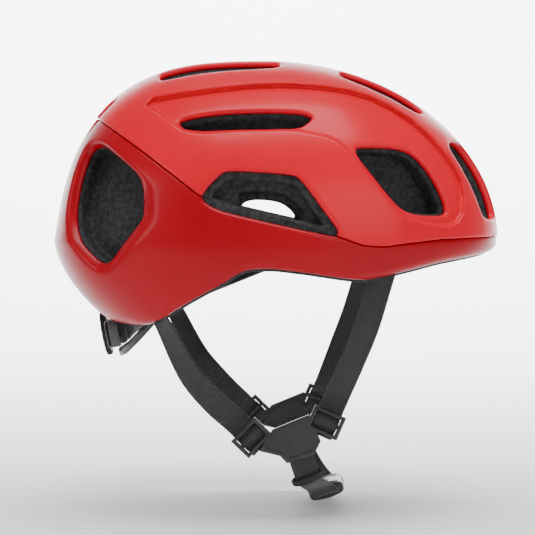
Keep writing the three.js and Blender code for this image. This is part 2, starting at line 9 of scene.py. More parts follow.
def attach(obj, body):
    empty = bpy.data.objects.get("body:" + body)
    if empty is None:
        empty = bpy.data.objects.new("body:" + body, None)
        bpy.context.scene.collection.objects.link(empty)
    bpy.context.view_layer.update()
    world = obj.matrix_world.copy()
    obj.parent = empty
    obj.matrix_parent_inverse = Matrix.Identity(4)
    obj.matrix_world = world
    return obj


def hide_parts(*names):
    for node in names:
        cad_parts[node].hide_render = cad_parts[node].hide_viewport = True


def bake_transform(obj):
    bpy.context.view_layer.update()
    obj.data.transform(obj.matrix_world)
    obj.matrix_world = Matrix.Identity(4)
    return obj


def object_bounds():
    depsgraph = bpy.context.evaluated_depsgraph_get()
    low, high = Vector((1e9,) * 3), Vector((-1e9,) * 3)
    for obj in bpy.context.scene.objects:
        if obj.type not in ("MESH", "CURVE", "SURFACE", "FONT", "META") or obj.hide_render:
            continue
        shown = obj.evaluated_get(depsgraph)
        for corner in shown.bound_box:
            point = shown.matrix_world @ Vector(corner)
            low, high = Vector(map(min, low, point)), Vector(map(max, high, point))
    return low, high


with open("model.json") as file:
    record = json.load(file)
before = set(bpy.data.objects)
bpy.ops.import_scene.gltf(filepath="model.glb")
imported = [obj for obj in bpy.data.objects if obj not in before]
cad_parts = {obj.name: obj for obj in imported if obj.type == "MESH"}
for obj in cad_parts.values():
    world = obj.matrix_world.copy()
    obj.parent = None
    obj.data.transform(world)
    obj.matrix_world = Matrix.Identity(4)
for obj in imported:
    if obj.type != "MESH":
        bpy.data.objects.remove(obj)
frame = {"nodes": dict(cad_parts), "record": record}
cad_low, cad_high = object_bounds()

# Lengths in this script are in millimetres in the CAD frame; MM turns them into metres.
MM = 0.001

# Outer form, head opening, rim and seam, as in the CAD part.
CROWN, FRONT, REAR, HALF_WIDTH, LOWEST = 112.5, 145.0, 134.0, 106.0, -60.0
HEAD_CROWN, HEAD_FRONT, HEAD_REAR, HEAD_HALF_WIDTH = 86.0, 104.0, 100.0, 81.0
HEAD_POWER = 2.2
RIM = [(-150, -50), (-104, -50), (-90, -50), (-76, -50.2), (-70, -49.5), (-60, -44), (-46, -34.7),
       (-25, -23), (-16, -16.8), (-8, -14.9), (4, -14.9), (25, -17.6), (47, -21.2), (58, -21.8),
       (75, -18.5), (103, -12), (138, -7), (160, -4)]
SEAM = [(-170, 112), (-112, 80), (-96, 70), (-75, 55), (-39, 27.5), (42.8, 3.5), (55, -1), (68, -2),
        (83, 0), (103, 2), (170, 3.5)]
NAPE = [(-34, -90), (-34, -46), (-30, -33), (-21, -24), (21, -24), (30, -33), (34, -46), (34, -90)]


# Signed distances ------------------------------------------------------------------------------

def smooth_max(a, b, radius):
    """The larger of two distances, with the edge between them rounded."""
    overlap = np.clip(radius - np.abs(a - b), 0, None) / radius
    return np.maximum(a, b) + overlap * overlap * radius / 4


def smooth_min(a, b, radius):
    return -smooth_max(-a, -b, radius)


def ramp(value, start, end):
    t = np.clip((value - start) / (end - start), 0, 1)
    return t * t * (3 - 2 * t)


def rounded(outline, rounds=2):
    """An outline with its corners cut, again and again, into arcs."""
    points = np.array(outline, float)
    for _ in range(rounds):
        following = np.roll(points, -1, axis=0)
        cut = [0.75 * points + 0.25 * following, 0.25 * points + 0.75 * following]
        points = np.stack(cut, axis=1).reshape(-1, 2)
    return points


def polygon_distance(u, v, outline):
    """Distance to a closed outline, negative inside."""
    nearest = np.full(u.shape, 1e9)
    inside = np.zeros(u.shape, bool)
    previous = outline[-1]
    for point in outline:
        eu, ev = point - previous
        du, dv = u - previous[0], v - previous[1]
        t = np.clip((du * eu + dv * ev) / (eu * eu + ev * ev + 1e-12), 0, 1)
        nearest = np.minimum(nearest, (du - t * eu) ** 2 + (dv - t * ev) ** 2)
        crosses = (point[1] > v) != (previous[1] > v)
        at = previous[0] + (v - previous[1]) * eu / (ev if abs(ev) > 1e-9 else 1e-9)
        inside ^= crosses & (u < at)
        previous = point
    return np.sqrt(nearest) * np.where(inside, -1, 1)


def box_distance(p, centre, size, radius=0.0):
    q = np.abs(p - np.array(centre)) - np.array(size) / 2 + radius
    return np.linalg.norm(np.maximum(q, 0), axis=1) + np.minimum(q.max(axis=1), 0) - radius


# Meshing ----------------------------------------------------------------------------------------

CELL_EDGES = [((0, 0, 0), (1, 0, 0)), ((0, 1, 0), (1, 1, 0)), ((0, 0, 1), (1, 0, 1)), ((0, 1, 1), (1, 1, 1)),
              ((0, 0, 0), (0, 1, 0)), ((1, 0, 0), (1, 1, 0)), ((0, 0, 1), (0, 1, 1)), ((1, 0, 1), (1, 1, 1)),
              ((0, 0, 0), (0, 0, 1)), ((1, 0, 0), (1, 0, 1)), ((0, 1, 0), (0, 1, 1)), ((1, 1, 0), (1, 1, 1))]
BLOCK = 4


def sample(field, low, high, step):
    """Field values on a grid, worked out only in the blocks that the surface may cross."""
    blocks = np.ceil((high - low) / (BLOCK * step)).astype(int)
    centres = np.indices(blocks).reshape(3, -1).T * BLOCK * step + low + BLOCK * step / 2
    coarse = field(centres).reshape(blocks)
    near = np.abs(coarse) < BLOCK * step * 1.25 + step
    values, wanted = coarse, near
    for axis in range(3):
        values = np.repeat(values, BLOCK, axis)
        wanted = np.repeat(wanted, BLOCK, axis)
    values = np.pad(values, ((0, 1),) * 3, mode="edge").astype(np.float32)
    wanted = np.pad(wanted, ((0, 1),) * 3)
    wanted[1:] |= wanted[:-1].copy()
    wanted[:, 1:] |= wanted[:, :-1].copy()
    wanted[:, :, 1:] |= wanted[:, :, :-1].copy()
    places = np.argwhere(wanted)
    for start in range(0, len(places), 400000):
        part = places[start:start + 400000]
        values[tuple(part.T)] = field(part * step + low)
    return values


def surface(field, low, high, step):
    """Quads over the zero surface of a distance field, with their points moved onto it."""
    low, high = np.array(low, float), np.array(high, float)
    values = sample(field, low, high, step)
    inside = values < 0
    shape = np.array(values.shape) - 1
    corner = lambda grid, c: grid[c[0]:shape[0] + c[0], c[1]:shape[1] + c[1], c[2]:shape[2] + c[2]]
    count = sum(corner(inside, c).astype(np.int8) for c in np.ndindex(2, 2, 2))
    cells = np.argwhere((count > 0) & (count < 8))
    number = np.full(shape, -1, np.int32)
    number[tuple(cells.T)] = np.arange(len(cells))
    total = np.zeros((len(cells), 3))
    hits = np.zeros(len(cells))
    for a, b in CELL_EDGES:
        fa = values[tuple((cells + a).T)]
        fb = values[tuple((cells + b).T)]
        cross = (fa < 0) != (fb < 0)
        t = np.where(cross, fa / np.where(cross, fa - fb, 1), 0)[:, None]
        total += np.where(cross[:, None], np.array(a) + t * (np.array(b) - a), 0)
        hits += cross
    points = (cells + total / hits[:, None]) * step + low
    quads = []
    for axis in range(3):
        one, two = [i for i in range(3) if i != axis]
        here = [slice(1, None)] * 3
        here[axis] = slice(0, -1)
        there = list(here)
        there[axis] = slice(1, None)
        # Grid edges whose ends differ, clear of the grid's border.
        first, second = inside[tuple(here)], inside[tuple(there)]
        places = np.argwhere(first != second)
        starts = places + 1
        starts[:, axis] -= 1
        leaving = inside[tuple(starts.T)]
        ring = []
        for back_one, back_two in ((0, 0), (1, 0), (1, 1), (0, 1)):
            cell = starts.copy()
            cell[:, one] -= back_one
            cell[:, two] -= back_two
            keep = np.all(cell < shape, axis=1)
            ring.append(np.where(keep, number[tuple(np.minimum(cell, shape - 1).T)], -1))
        ring = np.stack(ring, axis=1)
        flip = leaving if axis != 1 else ~leaving
        ring[~flip] = ring[~flip][:, ::-1]
        quads.append(ring[(ring >= 0).all(axis=1)])
    quads = np.concatenate(quads)
    return settle(field, points, quads, step), quads


def neighbours_mean(points, quads):
    a = quads.reshape(-1)
    b = np.roll(quads, -1, axis=1).reshape(-1)
    count = np.bincount(a, minlength=len(points)) + np.bincount(b, minlength=len(points))
    mean = [np.bincount(a, points[b, i], len(points)) + np.bincount(b, points[a, i], len(points))
            for i in range(3)]
    return np.stack(mean, axis=1) / np.maximum(count, 1)[:, None]


def settle(field, points, quads, step):
    """Evens out the points and slides them back onto the surface."""
    reach = 0.25 * step
    for turn in range(4):
        if turn < 3:
            points = points + 0.5 * (neighbours_mean(points, quads) - points)
        value = field(points)
        slope = np.stack([field(points + reach * axis) - value for axis in np.eye(3)], axis=1) / reach
        size = np.maximum((slope ** 2).sum(axis=1), 0.05)
        move = -value / size
        move = np.clip(move, -step, step)
        points = points + slope * move[:, None]
    return points


def as_object(name, points, faces, smooth=True):
    mesh = bpy.data.meshes.new(name)
    if isinstance(faces, np.ndarray):
        mesh.vertices.add(len(points))
        mesh.vertices.foreach_set("co", (np.asarray(points) * MM).astype(np.float32).ravel())
        mesh.loops.add(faces.size)
        mesh.loops.foreach_set("vertex_index", faces.astype(np.int32).ravel())
        mesh.polygons.add(len(faces))
        mesh.polygons.foreach_set("loop_start", np.arange(0, faces.size, faces.shape[1], dtype=np.int32))
        mesh.update(calc_edges=True)
        mesh.validate()
    else:
        mesh.from_pydata((np.asarray(points) * MM).tolist(), [], faces)
        mesh.update()
    mesh.polygons.foreach_set("use_smooth", [smooth] * len(mesh.polygons))
    piece = bpy.data.objects.new(name, mesh)
    bpy.context.scene.collection.objects.link(piece)
    return piece


def moulded(name, field, low, high, step, place=None):
    """A piece made from a distance field, in its own frame, then put in place."""
    points, quads = surface(field, low, high, step)
    if place is not None:
        points = points @ place[:3, :3].T + place[:3, 3]
    return as_object(name, points, quads)


# Materials --------------------------------------------------------------------------------------

def new_material(name, color, roughness, **shader):
    material = bpy.data.materials.new(name)
    material.use_nodes = True
    tree = material.node_tree
    base = tree.nodes["Principled BSDF"]
    base.inputs["Base Color"].default_value = (*color, 1)
    base.inputs["Roughness"].default_value = roughness
    for socket, value in shader.items():
        base.inputs[socket.replace("_", " ")].default_value = value
    return material, tree, base


def node(tree, kind, **values):
    made = tree.nodes.new(kind)
    for key, value in values.items():
        if key in made.inputs:
            made.inputs[key].default_value = value
        else:
            setattr(made, key, value)
    return made


def coordinates(tree, scale):
    source = node(tree, "ShaderNodeTexCoord")
    mapping = node(tree, "ShaderNodeMapping")
    mapping.inputs["Scale"].default_value = (scale,) * 3
    tree.links.new(source.outputs["Object"], mapping.inputs["Vector"])
    return mapping.outputs["Vector"]


def add_bump(tree, base, height, strength, distance, below=None):
    bump = node(tree, "ShaderNodeBump", Strength=strength, Distance=distance)
    tree.links.new(height, bump.inputs["Height"])
    if below is not None:
        tree.links.new(below, bump.inputs["Normal"])
    tree.links.new(bump.outputs["Normal"], base.inputs["Normal"])
    return bump.outputs["Normal"]


def vary_color(tree, base, factor, dark, light, low=0.3, high=0.7):
    blend = node(tree, "ShaderNodeValToRGB")
    blend.color_ramp.elements[0].position = low
    blend.color_ramp.elements[0].color = (*dark, 1)
    blend.color_ramp.elements[1].position = high
    blend.color_ramp.elements[1].color = (*light, 1)
    tree.links.new(factor, blend.inputs["Fac"])
    tree.links.new(blend.outputs["Color"], base.inputs["Base Color"])


def vary_roughness(tree, base, factor, low, high):
    spread = node(tree, "ShaderNodeMapRange")
    spread.inputs["To Min"].default_value = low
    spread.inputs["To Max"].default_value = high
    tree.links.new(factor, spread.inputs["Value"])
    tree.links.new(spread.outputs["Result"], base.inputs["Roughness"])


def noise(tree, vector, scale, detail=3.0):
    made = node(tree, "ShaderNodeTexNoise", Scale=scale, Detail=detail)
    tree.links.new(vector, made.inputs["Vector"])
    return made.outputs["Fac"]


def paint_material(name, dark, light):
    material, tree, base = new_material(name, light, 0.3, Coat_Weight=0.08,
                                        Coat_Roughness=0.12, Specular_IOR_Level=0.16)
    vector = coordinates(tree, 1)
    vary_color(tree, base, noise(tree, vector, 9, 2), dark, light)
    vary_roughness(tree, base, noise(tree, vector, 60), 0.24, 0.36)
    add_bump(tree, base, noise(tree, vector, 420, 1), 0.04, 0.0004)
    return material


def foam_material():
    material, tree, base = new_material("foam_beads", (0.02, 0.021, 0.022), 0.8, Specular_IOR_Level=0.35)
    vector = coordinates(tree, 1)
    beads = node(tree, "ShaderNodeTexVoronoi", Scale=360.0)
    tree.links.new(vector, beads.inputs["Vector"])
    vary_color(tree, base, beads.outputs["Distance"], (0.042, 0.044, 0.046), (0.014, 0.015, 0.016), 0.1, 0.8)
    grain = add_bump(tree, base, noise(tree, vector, 900, 2), 0.35, 0.0003)
    add_bump(tree, base, beads.outputs["Distance"], -0.7, 0.0008, grain)
    return material


def plastic_material(name, color, roughness):
    material, tree, base = new_material(name, color, roughness)
    vector = coordinates(tree, 1)
    dark, light = (tuple(c * share for c in color) for share in (0.8, 1.25))
    vary_color(tree, base, noise(tree, vector, 70), dark, light)
    vary_roughness(tree, base, noise(tree, vector, 200), roughness - 0.06, roughness + 0.08)
    add_bump(tree, base, noise(tree, vector, 1800, 2), 0.16, 0.0002)
    return material


def fabric_material(name, color, scale):
    material, tree, base = new_material(name, color, 0.9, Sheen_Weight=0.35, Sheen_Roughness=0.5)
    vector = coordinates(tree, 1)
    knit = node(tree, "ShaderNodeTexVoronoi", Scale=scale)
    tree.links.new(vector, knit.inputs["Vector"])
    light, dark = (tuple(c * share for c in color) for share in (1.5, 0.6))
    vary_color(tree, base, knit.outputs["Distance"], light, dark)
    add_bump(tree, base, knit.outputs["Distance"], -0.6, 0.0006)
    return material


def webbing_material():
    """Ribs lie across the webbing; the mesh's own map runs across in u and along in v, in millimetres."""
    material, tree, base = new_material("ribbed_webbing", (0.03, 0.031, 0.033), 0.75,
                                        Sheen_Weight=0.25, Sheen_Roughness=0.4)
    source = node(tree, "ShaderNodeTexCoord")
    split = node(tree, "ShaderNodeSeparateXYZ")
    tree.links.new(source.outputs["UV"], split.inputs["Vector"])
    waves = []
    for axis, pitch in (("X", 0.9), ("Y", 1.25)):
        turn = node(tree, "ShaderNodeMath", operation="MULTIPLY")
        turn.inputs[1].default_value = 2 * math.pi / pitch
        tree.links.new(split.outputs[axis], turn.inputs[0])
        wave = node(tree, "ShaderNodeMath", operation="SINE")
        tree.links.new(turn.outputs[0], wave.inputs[0])
        waves.append(wave.outputs[0])
    product = node(tree, "ShaderNodeMath", operation="MULTIPLY_ADD")
    tree.links.new(waves[0], product.inputs[0])
    product.inputs[1].default_value = 0.35
    tree.links.new(waves[1], product.inputs[2])
    level = node(tree, "ShaderNodeMapRange")
    level.inputs["From Min"].default_value = -1.35
    level.inputs["From Max"].default_value = 1.35
    tree.links.new(product.outputs[0], level.inputs["Value"])
    vary_color(tree, base, level.outputs["Result"], (0.010, 0.010, 0.011), (0.050, 0.052, 0.055), 0.1, 0.9)
    add_bump(tree, base, level.outputs["Result"], 0.6, 0.0004)
    return material


PAINT = paint_material("red_gloss_paint", (0.72, 0.0, 0.016), (0.84, 0.0004, 0.022))
# Painted shade: the lower shell takes the same red at about half the brightness, to stand for the shade on
# its downward-facing surfaces.
SHADED_LOWER_PAINT = paint_material("red_gloss_paint_lower_painted_shade", (0.38, 0.0, 0.008), (0.46, 0.0002, 0.011))
FOAM = foam_material()
PLASTIC = plastic_material("black_plastic", (0.022, 0.023, 0.025), 0.38)
PLASTIC_GREY = plastic_material("grey_plastic", (0.085, 0.09, 0.095), 0.45)
RUBBER = plastic_material("grip_rubber", (0.014, 0.014, 0.015), 0.7)
PADDING = fabric_material("knit_padding", (0.022, 0.022, 0.024), 900.0)
WEBBING = webbing_material()


def dress(piece, material, slot, body, *nodes):
    """Gives a piece its material and its body, and hides the CAD nodes that it stands for; the slot argument
    is not used.
    """
    piece.data.materials.clear()
    piece.data.materials.append(material)
    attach(piece, body)
    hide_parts(*nodes)
    return piece


# Helmet form ------------------------------------------------------------------------------------

def arc(ratio, power):
    return np.clip(1 - np.clip(np.abs(ratio), 0, 1) ** power, 0, None) ** (1 / power)


def outer_reach(z):
    up = np.maximum(z, 0)
    down = np.minimum(z, 0)
    above = z > 0
    front = FRONT * np.where(above, arc(up / CROWN, 1.97), arc(np.maximum(down, -44.9) / 45, 2))
    rear = np.where(above, (REAR - 0.16 * up) * arc(up / CROWN, 3), 80 + 54 * arc(down / LOWEST, 1.5))
    side = HALF_WIDTH * np.where(above, arc(up / CROWN, 2.1), arc(down / 95, 2))
    return np.maximum(front, 1e-3), np.maximum(rear, 1e-3), np.maximum(side, 1e-3)


def outer_inside(x, y, z):
    front, rear, side = outer_reach(z)
    power = np.where(x > 0, 2.15, 2.5)
    share = (np.abs(x) / np.where(x > 0, front, rear)) ** power + (np.abs(y) / side) ** power
    return (share < 1) & (z < CROWN) & (z > LOWEST)


class RadialForm:
    """A star-shaped form kept as its reach in every direction from a centre."""

    CENTRE = np.array([0.0, 0.0, -8.0])
    ACROSS, UP = 540, 270

    def __init__(self):
        turn = np.linspace(-math.pi, math.pi, self.ACROSS + 1)
        rise = np.linspace(-math.pi / 2, math.pi / 2, self.UP + 1)
        turn, rise = np.meshgrid(turn, rise, indexing="ij")
        way = [np.cos(rise) * np.cos(turn), np.cos(rise) * np.sin(turn), np.sin(rise)]
        near, far = np.full(turn.shape, 10.0), np.full(turn.shape, 190.0)
        for _ in range(34):
            middle = (near + far) / 2
            hit = outer_inside(*[self.CENTRE[i] + middle * way[i] for i in range(3)])
            near = np.where(hit, middle, near)
            far = np.where(hit, far, middle)
        self.reach = near
        slope_turn = np.gradient(near, axis=0) * self.ACROSS / (2 * math.pi)
        slope_rise = np.gradient(near, axis=1) * self.UP / math.pi
        tilt = (slope_turn / (near * np.maximum(np.cos(rise), 0.05))) ** 2 + (slope_rise / near) ** 2
        self.facing = np.maximum(1 / np.sqrt(1 + tilt), 0.45)

    def look_up(self, table, turn, rise, smooth):
        i, j = np.floor(turn).astype(int), np.floor(rise).astype(int)
        j = np.clip(j, 0, self.UP - 1)
        s, t = turn - i, rise - j
        if not smooth:
            weights = lambda q: {0: 1 - q, 1: q}
        else:
            weights = lambda q: {
                -1: ((-q + 2) * q - 1) * q / 2, 0: ((3 * q - 5) * q * q + 2) / 2,
                1: ((-3 * q + 4) * q + 1) * q / 2, 2: (q - 1) * q * q / 2}
        total = 0
        across, up = weights(s), weights(t)
        for a, wa in across.items():
            column = (i + a) % self.ACROSS
            for b, wb in up.items():
                total = total + wa * wb * table[column, np.clip(j + b, 0, self.UP)]
        return total

    def distance(self, p):
        q = p - self.CENTRE
        r = np.maximum(np.linalg.norm(q, axis=1), 1e-6)
        turn = (np.arctan2(q[:, 1], q[:, 0]) + math.pi) * self.ACROSS / (2 * math.pi)
        rise = (np.arcsin(np.clip(q[:, 2] / r, -1, 1)) + math.pi / 2) * self.UP / math.pi
        return (r - self.look_up(self.reach, turn, rise, True)) * self.look_up(self.facing, turn, rise, False)


OUTER = RadialForm()


def head_distance(p, grow=0.0):
    spread = ((np.abs(p[:, 0]) / np.where(p[:, 0] > 0, HEAD_FRONT + grow, HEAD_REAR + grow)) ** HEAD_POWER
              + (np.abs(p[:, 1]) / (HEAD_HALF_WIDTH + grow)) ** HEAD_POWER) ** (1 / HEAD_POWER)
    ratio = (spread ** 2.3 + (np.maximum(p[:, 2], 0) / (HEAD_CROWN + grow)) ** 2.3) ** (1 / 2.3)
    flat = np.stack([p[:, 0], p[:, 1], np.maximum(p[:, 2], 0)], axis=1)
    return np.linalg.norm(flat, axis=1) * (1 - 1 / np.maximum(ratio, 1e-3))


class Line:
    """A line z(x) in side view; above() is the distance over it."""

    def __init__(self, points, spread):
        x = np.arange(-170.0, 170.5, 1.0)
        z = np.interp(x, [a for a, _ in points], [b for _, b in points])
        window = np.exp(-0.5 * (np.arange(-12, 13) / spread) ** 2)
        window /= window.sum()
        self.x = x
        self.z = np.convolve(np.pad(z, 12, mode="edge"), window, mode="valid")
        self.steep = np.sqrt(1 + np.gradient(self.z) ** 2)

    def above(self, x, z):
        return (z - np.interp(x, self.x, self.z)) / np.interp(x, self.x, self.steep)


RIM_LINE = Line(RIM, 3.0)
SEAM_LINE = Line(SEAM, 2.0)


def on_side(x, z):
    front, rear, side = outer_reach(np.array(float(z)))
    length, power = (front, 2.15) if x > 0 else (rear, 2.5)
    return (x, -float(side * arc(x / length, power)), z)


def on_end(sign):
    def place(y, z):
        front, rear, side = outer_reach(np.array(float(z)))
        length, power = (front, 2.15) if sign > 0 else (rear, 2.5)
        return (sign * float(length * arc(y / side, power)), y, z)
    return place


def from_above(x, y):
    low, high = 0.0, CROWN
    while high - low > 0.01:
        middle = (low + high) / 2
        if outer_inside(np.array(float(x)), np.array(float(y)), np.array(middle)):
            low = middle
        else:
            high = middle
    return (x, y, low)


class Vent:
    """A cut along one direction whose outline lies on the helmet's surface, on the right side.

    bevel is (width, depth) of the shell's chamfer, skirt how deep the shell lines the cut, and lip how
    far the foam stands in from the shell below that. inner is the outline at the bevel's foot, window
    the outline of the see-through part, floor the depth of a closed cut, and soft the radius of the
    foam's edge."""

    def __init__(self, view, into, outline, length, bevel, skirt, lip,
                 inner=None, window=None, floor=None, soft=3.0):
        self.axis = np.array(into, float) / np.linalg.norm(into)
        across = np.cross((0, 0, 1), self.axis)
        if np.linalg.norm(across) < 0.3:
            across = np.cross((0, 1, 0), self.axis)
        self.across = across / np.linalg.norm(across)
        self.up = np.cross(self.axis, self.across)
        points = np.array([view(*point) for point in outline])
        self.outline = self.flat(points)
        self.inner = None if inner is None else self.flat(np.array([view(*point) for point in inner]))
        self.window = None if window is None else self.flat(np.array([view(*point) for point in window]))
        self.floor = floor
        self.soft = soft
        self.end = (points @ self.axis).max() + length
        self.middle = self.outline.mean(axis=0)
        self.radius = np.linalg.norm(self.outline - self.middle, axis=1).max()
        self.bevel, self.skirt, self.lip = bevel, skirt, lip

    def flat(self, points):
        return rounded(np.stack([points @ self.across, points @ self.up], axis=1))

    def distance(self, p, depth):
        """Distance from the cut's wall, negative inside the cut; depth is measured below the skin."""
        u, v = p @ self.across, p @ self.up
        away = np.hypot(u - self.middle[0], v - self.middle[1]) - self.radius
        result = away + 2.0
        near = away < 10.0
        d = depth[near]
        width, deep = self.bevel
        if self.inner is None:
            flat = polygon_distance(u[near], v[near], self.outline) + width * np.clip(d / deep, 0, 1)
        else:
            share = np.clip(d / deep, 0, 1) ** 0.8
            flat = (1 - share) * polygon_distance(u[near], v[near], self.outline)
            flat += share * polygon_distance(u[near], v[near], self.inner)
        result[near] = flat
        return np.maximum(result, p @ self.axis - self.end)

    def foam_distance(self, p, depth, cut):
        """Distance from the foam's wall round the cut, whose own distance is given."""
        reach = 1.4 if self.window is not None else 2.5
        wall = cut + self.lip * ramp(depth, self.skirt - 1.0, self.skirt + reach)
        wall += 0.06 * np.clip(depth - self.skirt, 0, 30)
        if self.window is not None:
            near = cut < 25.0
            share = 0.55 * ramp(depth[near], 8.5, 10.5) + 0.45 * ramp(depth[near], 15.0, 17.0)
            flat = polygon_distance(p[near] @ self.across, p[near] @ self.up, self.window)
            wall[near] = (1 - share) * wall[near] + share * flat
        if self.floor is not None:
            wall = smooth_max(wall, depth - self.floor, 4.0)
        return wall


VENTS = [
    Vent(on_side, (0, 1, 0), [(-40.5, 27), (-26.5, 41.6), (-22, 42.6), (14, 40.6), (19.5, 37.6), (33, 19),
                              (45, 2.6), (21, 7), (-18, 16), (-32, 20)], 30, (0.7, 2.4), 2.6, 4.6,
         window=[(-19, 19.3), (-13.5, 25.2), (2, 25.2), (13.5, 21.8), (22, 11.2), (-1.5, 15.4)], soft=1.0),
    Vent(on_side, (0.6, 0.8, -0.05), [(-110, 60), (-101, 61), (-93, 56), (-70, 37), (-66, 31), (-65.5, 16),
                                      (-68, 10), (-90, -16), (-97, -18), (-104, -16.5), (-119, -1),
                                      (-122, 12), (-121, 26), (-116, 47)], 24, (1.0, 6.0), 6.5, 0.6,
         inner=[(-109, 56), (-102, 57.5), (-95, 53), (-81, 42.5), (-77, 34), (-76.5, 18), (-79, 12),
                (-94, -8), (-99, -12), (-104, -10.5), (-116, 2), (-119, 14), (-118, 30), (-113, 49)],
         floor=17.0),
    Vent(on_side, (0, 0.62, -0.78), [(-53.5, 74), (-48, 77.5), (-17, 81), (13, 81), (23, 80), (28, 76.5),
                                     (15.5, 68), (-46, 67.5)], 20, (0.6, 2.5), 3.0, 0.8),
    Vent(on_side, (-0.45, 0.85, -0.2), [(49.4, 57), (64, 58), (82, 57), (90, 53), (98, 44), (104, 34),
                                        (109, 22), (108, 16), (93, 16.5), (85, 18), (78, 22), (68, 33.5)],
         16, (0.9, 3.0), 4.0, 1.6),
    Vent(from_above, (0, 0.2, -1), [(-66, -38), (-60, -43), (-20, -42), (0, -40), (8, -36), (8, -24),
                                    (0, -20), (-60, -20), (-66, -25)], 24, (0.8, 3.0), 4.0, 1.0),
    Vent(from_above, (-0.3, 0.2, -1), [(44, -36), (50, -40), (84, -42), (94, -38), (96, -26), (88, -19),
                                       (50, -19), (44, -24)], 24, (0.8, 3.0), 4.0, 1.0),
    Vent(on_end(1), (-1, 0.1, -0.25), [(-42, 61), (-20, 61), (-15, 54), (-15, 20), (-20, 13), (-44, 13),
                                       (-49, 20), (-49, 52)], 22, (0.9, 3.0), 5.0, 1.4),
    Vent(on_end(-1), (1, 0.1, -0.35), [(-30, 88), (-12, 88), (-9, 84), (-9, 68), (-13, 64), (-28, 64),
                                       (-34, 70), (-34, 82)], 22, (0.8, 3.0), 4.0, 1.2),
]

# Sunken panel between the bright top strut and the lip above the side vent, in side view.
PANEL = rounded([(-78, 85), (-40, 91), (2, 95.5), (44, 93), (68, 86), (92, 70.5), (110, 50), (119, 33),
                 (116, 12), (104, 9), (88, 12), (76, 18), (64, 33), (48, 53), (38, 61.5), (25, 64), (15, 66),
                 (-17, 65.5), (-46, 63.5), (-58, 72)], 1)
PANEL_DEPTH = 3.4
LOWER_STEP = 0.9
SHELL_THICK = 3.2
RIM_SKIRT = 4.2
RIM_DROP = 1.3
FLANGE = 2.6


def relief(q, over_seam):
    """How far the skin stands out from the outer form."""
    near = (q[:, 2] > 0) & (q[:, 0] > -85) & (q[:, 0] < 125)
    sunk = np.zeros(len(q))
    sunk[near] = ramp(-polygon_distance(q[near, 0], q[near, 2], PANEL), -0.8, 1.8)
    return -PANEL_DEPTH * sunk - LOWER_STEP * ramp(-over_seam, -0.2, 0.4)


def helmet_parts(p):
    """Skin distance, rim distance, seam distance and the vents' distances at each point."""
    q = np.stack([p[:, 0], -np.abs(p[:, 1]), p[:, 2]], axis=1)
    over_seam = SEAM_LINE.above(q[:, 0], q[:, 2])
    skin = OUTER.distance(p) - relief(q, over_seam)
    rim = -RIM_LINE.above(q[:, 0], q[:, 2])
    behind = q[:, 0] < -50
    nape = np.full(len(p), 50.0)
    nape[behind] = polygon_distance(p[behind, 1], p[behind, 2], rounded(NAPE))
    rim = smooth_max(rim, -np.maximum(nape, q[:, 0] + 60), 6)
    cuts = [vent.distance(q, -skin) for vent in VENTS]
    return skin, rim, over_seam, cuts


def shell_layer(skin, rim, cuts):
    """Negative where the moulded-in shell is: a skin that also lines each cut and the rim."""
    layer = np.minimum(-skin - SHELL_THICK, np.maximum(-skin - RIM_SKIRT, -rim - FLANGE))
    for vent, cut in zip(VENTS, cuts):
        layer = np.minimum(layer, np.maximum(-skin - vent.skirt, cut - FLANGE))
    return layer


def shell_field(upper):
    def field(p):
        skin, rim, over_seam, cuts = helmet_parts(p)
        body = smooth_max(skin, rim, 5.0)
        for cut in cuts:
            body = smooth_max(body, -cut, 2.0)
        body = smooth_max(body, shell_layer(skin, rim, cuts), 1.6)
        side = -over_seam if upper else over_seam
        return smooth_max(body, side + 0.15, 1.2)
    return field


def liner_field(p):
    skin, rim, _, cuts = helmet_parts(p)
    q = np.stack([p[:, 0], -np.abs(p[:, 1]), p[:, 2]], axis=1)
    layer = shell_layer(skin, rim, cuts)
    body = smooth_max(skin + 0.4, rim - RIM_DROP, 7.0)
    body = smooth_max(body, -layer - 0.4, 1.2)
    for vent, cut in zip(VENTS, cuts):
        body = smooth_max(body, -vent.foam_distance(q, -skin, cut), vent.soft)
    hollow = head_distance(p)
    side = np.abs(np.abs(p[:, 1]) - 31) - 9
    groove = smooth_max(smooth_max(head_distance(p, 9.0), side, 4.0), -(p[:, 2] - 22), 4.0)
    hollow = smooth_min(hollow, groove, 4.0)
    return smooth_max(body, -hollow, 6.0)


SHELL_STEP = 1.0
LINER_STEP = 1.15
HELMET_LOW, HELMET_HIGH = (-140, -111, -56), (150, 111, 118)
dress(moulded("upper_shell_skin", shell_field(True), HELMET_LOW, HELMET_HIGH, SHELL_STEP),
      PAINT, "shell_paint", "helmet", "upper_shell")
# The lower shell gets the darker red, whose darkness is painted shade.
dress(moulded("lower_shell_skin", shell_field(False), HELMET_LOW, HELMET_HIGH, SHELL_STEP),
      SHADED_LOWER_PAINT, "shell_paint_lower", "helmet", "lower_shell")
dress(moulded("foam_body", liner_field, HELMET_LOW, HELMET_HIGH, LINER_STEP),
      FOAM, "foam", "helmet", "foam_liner")

# Webbing and bands ------------------------------------------------------------------------------

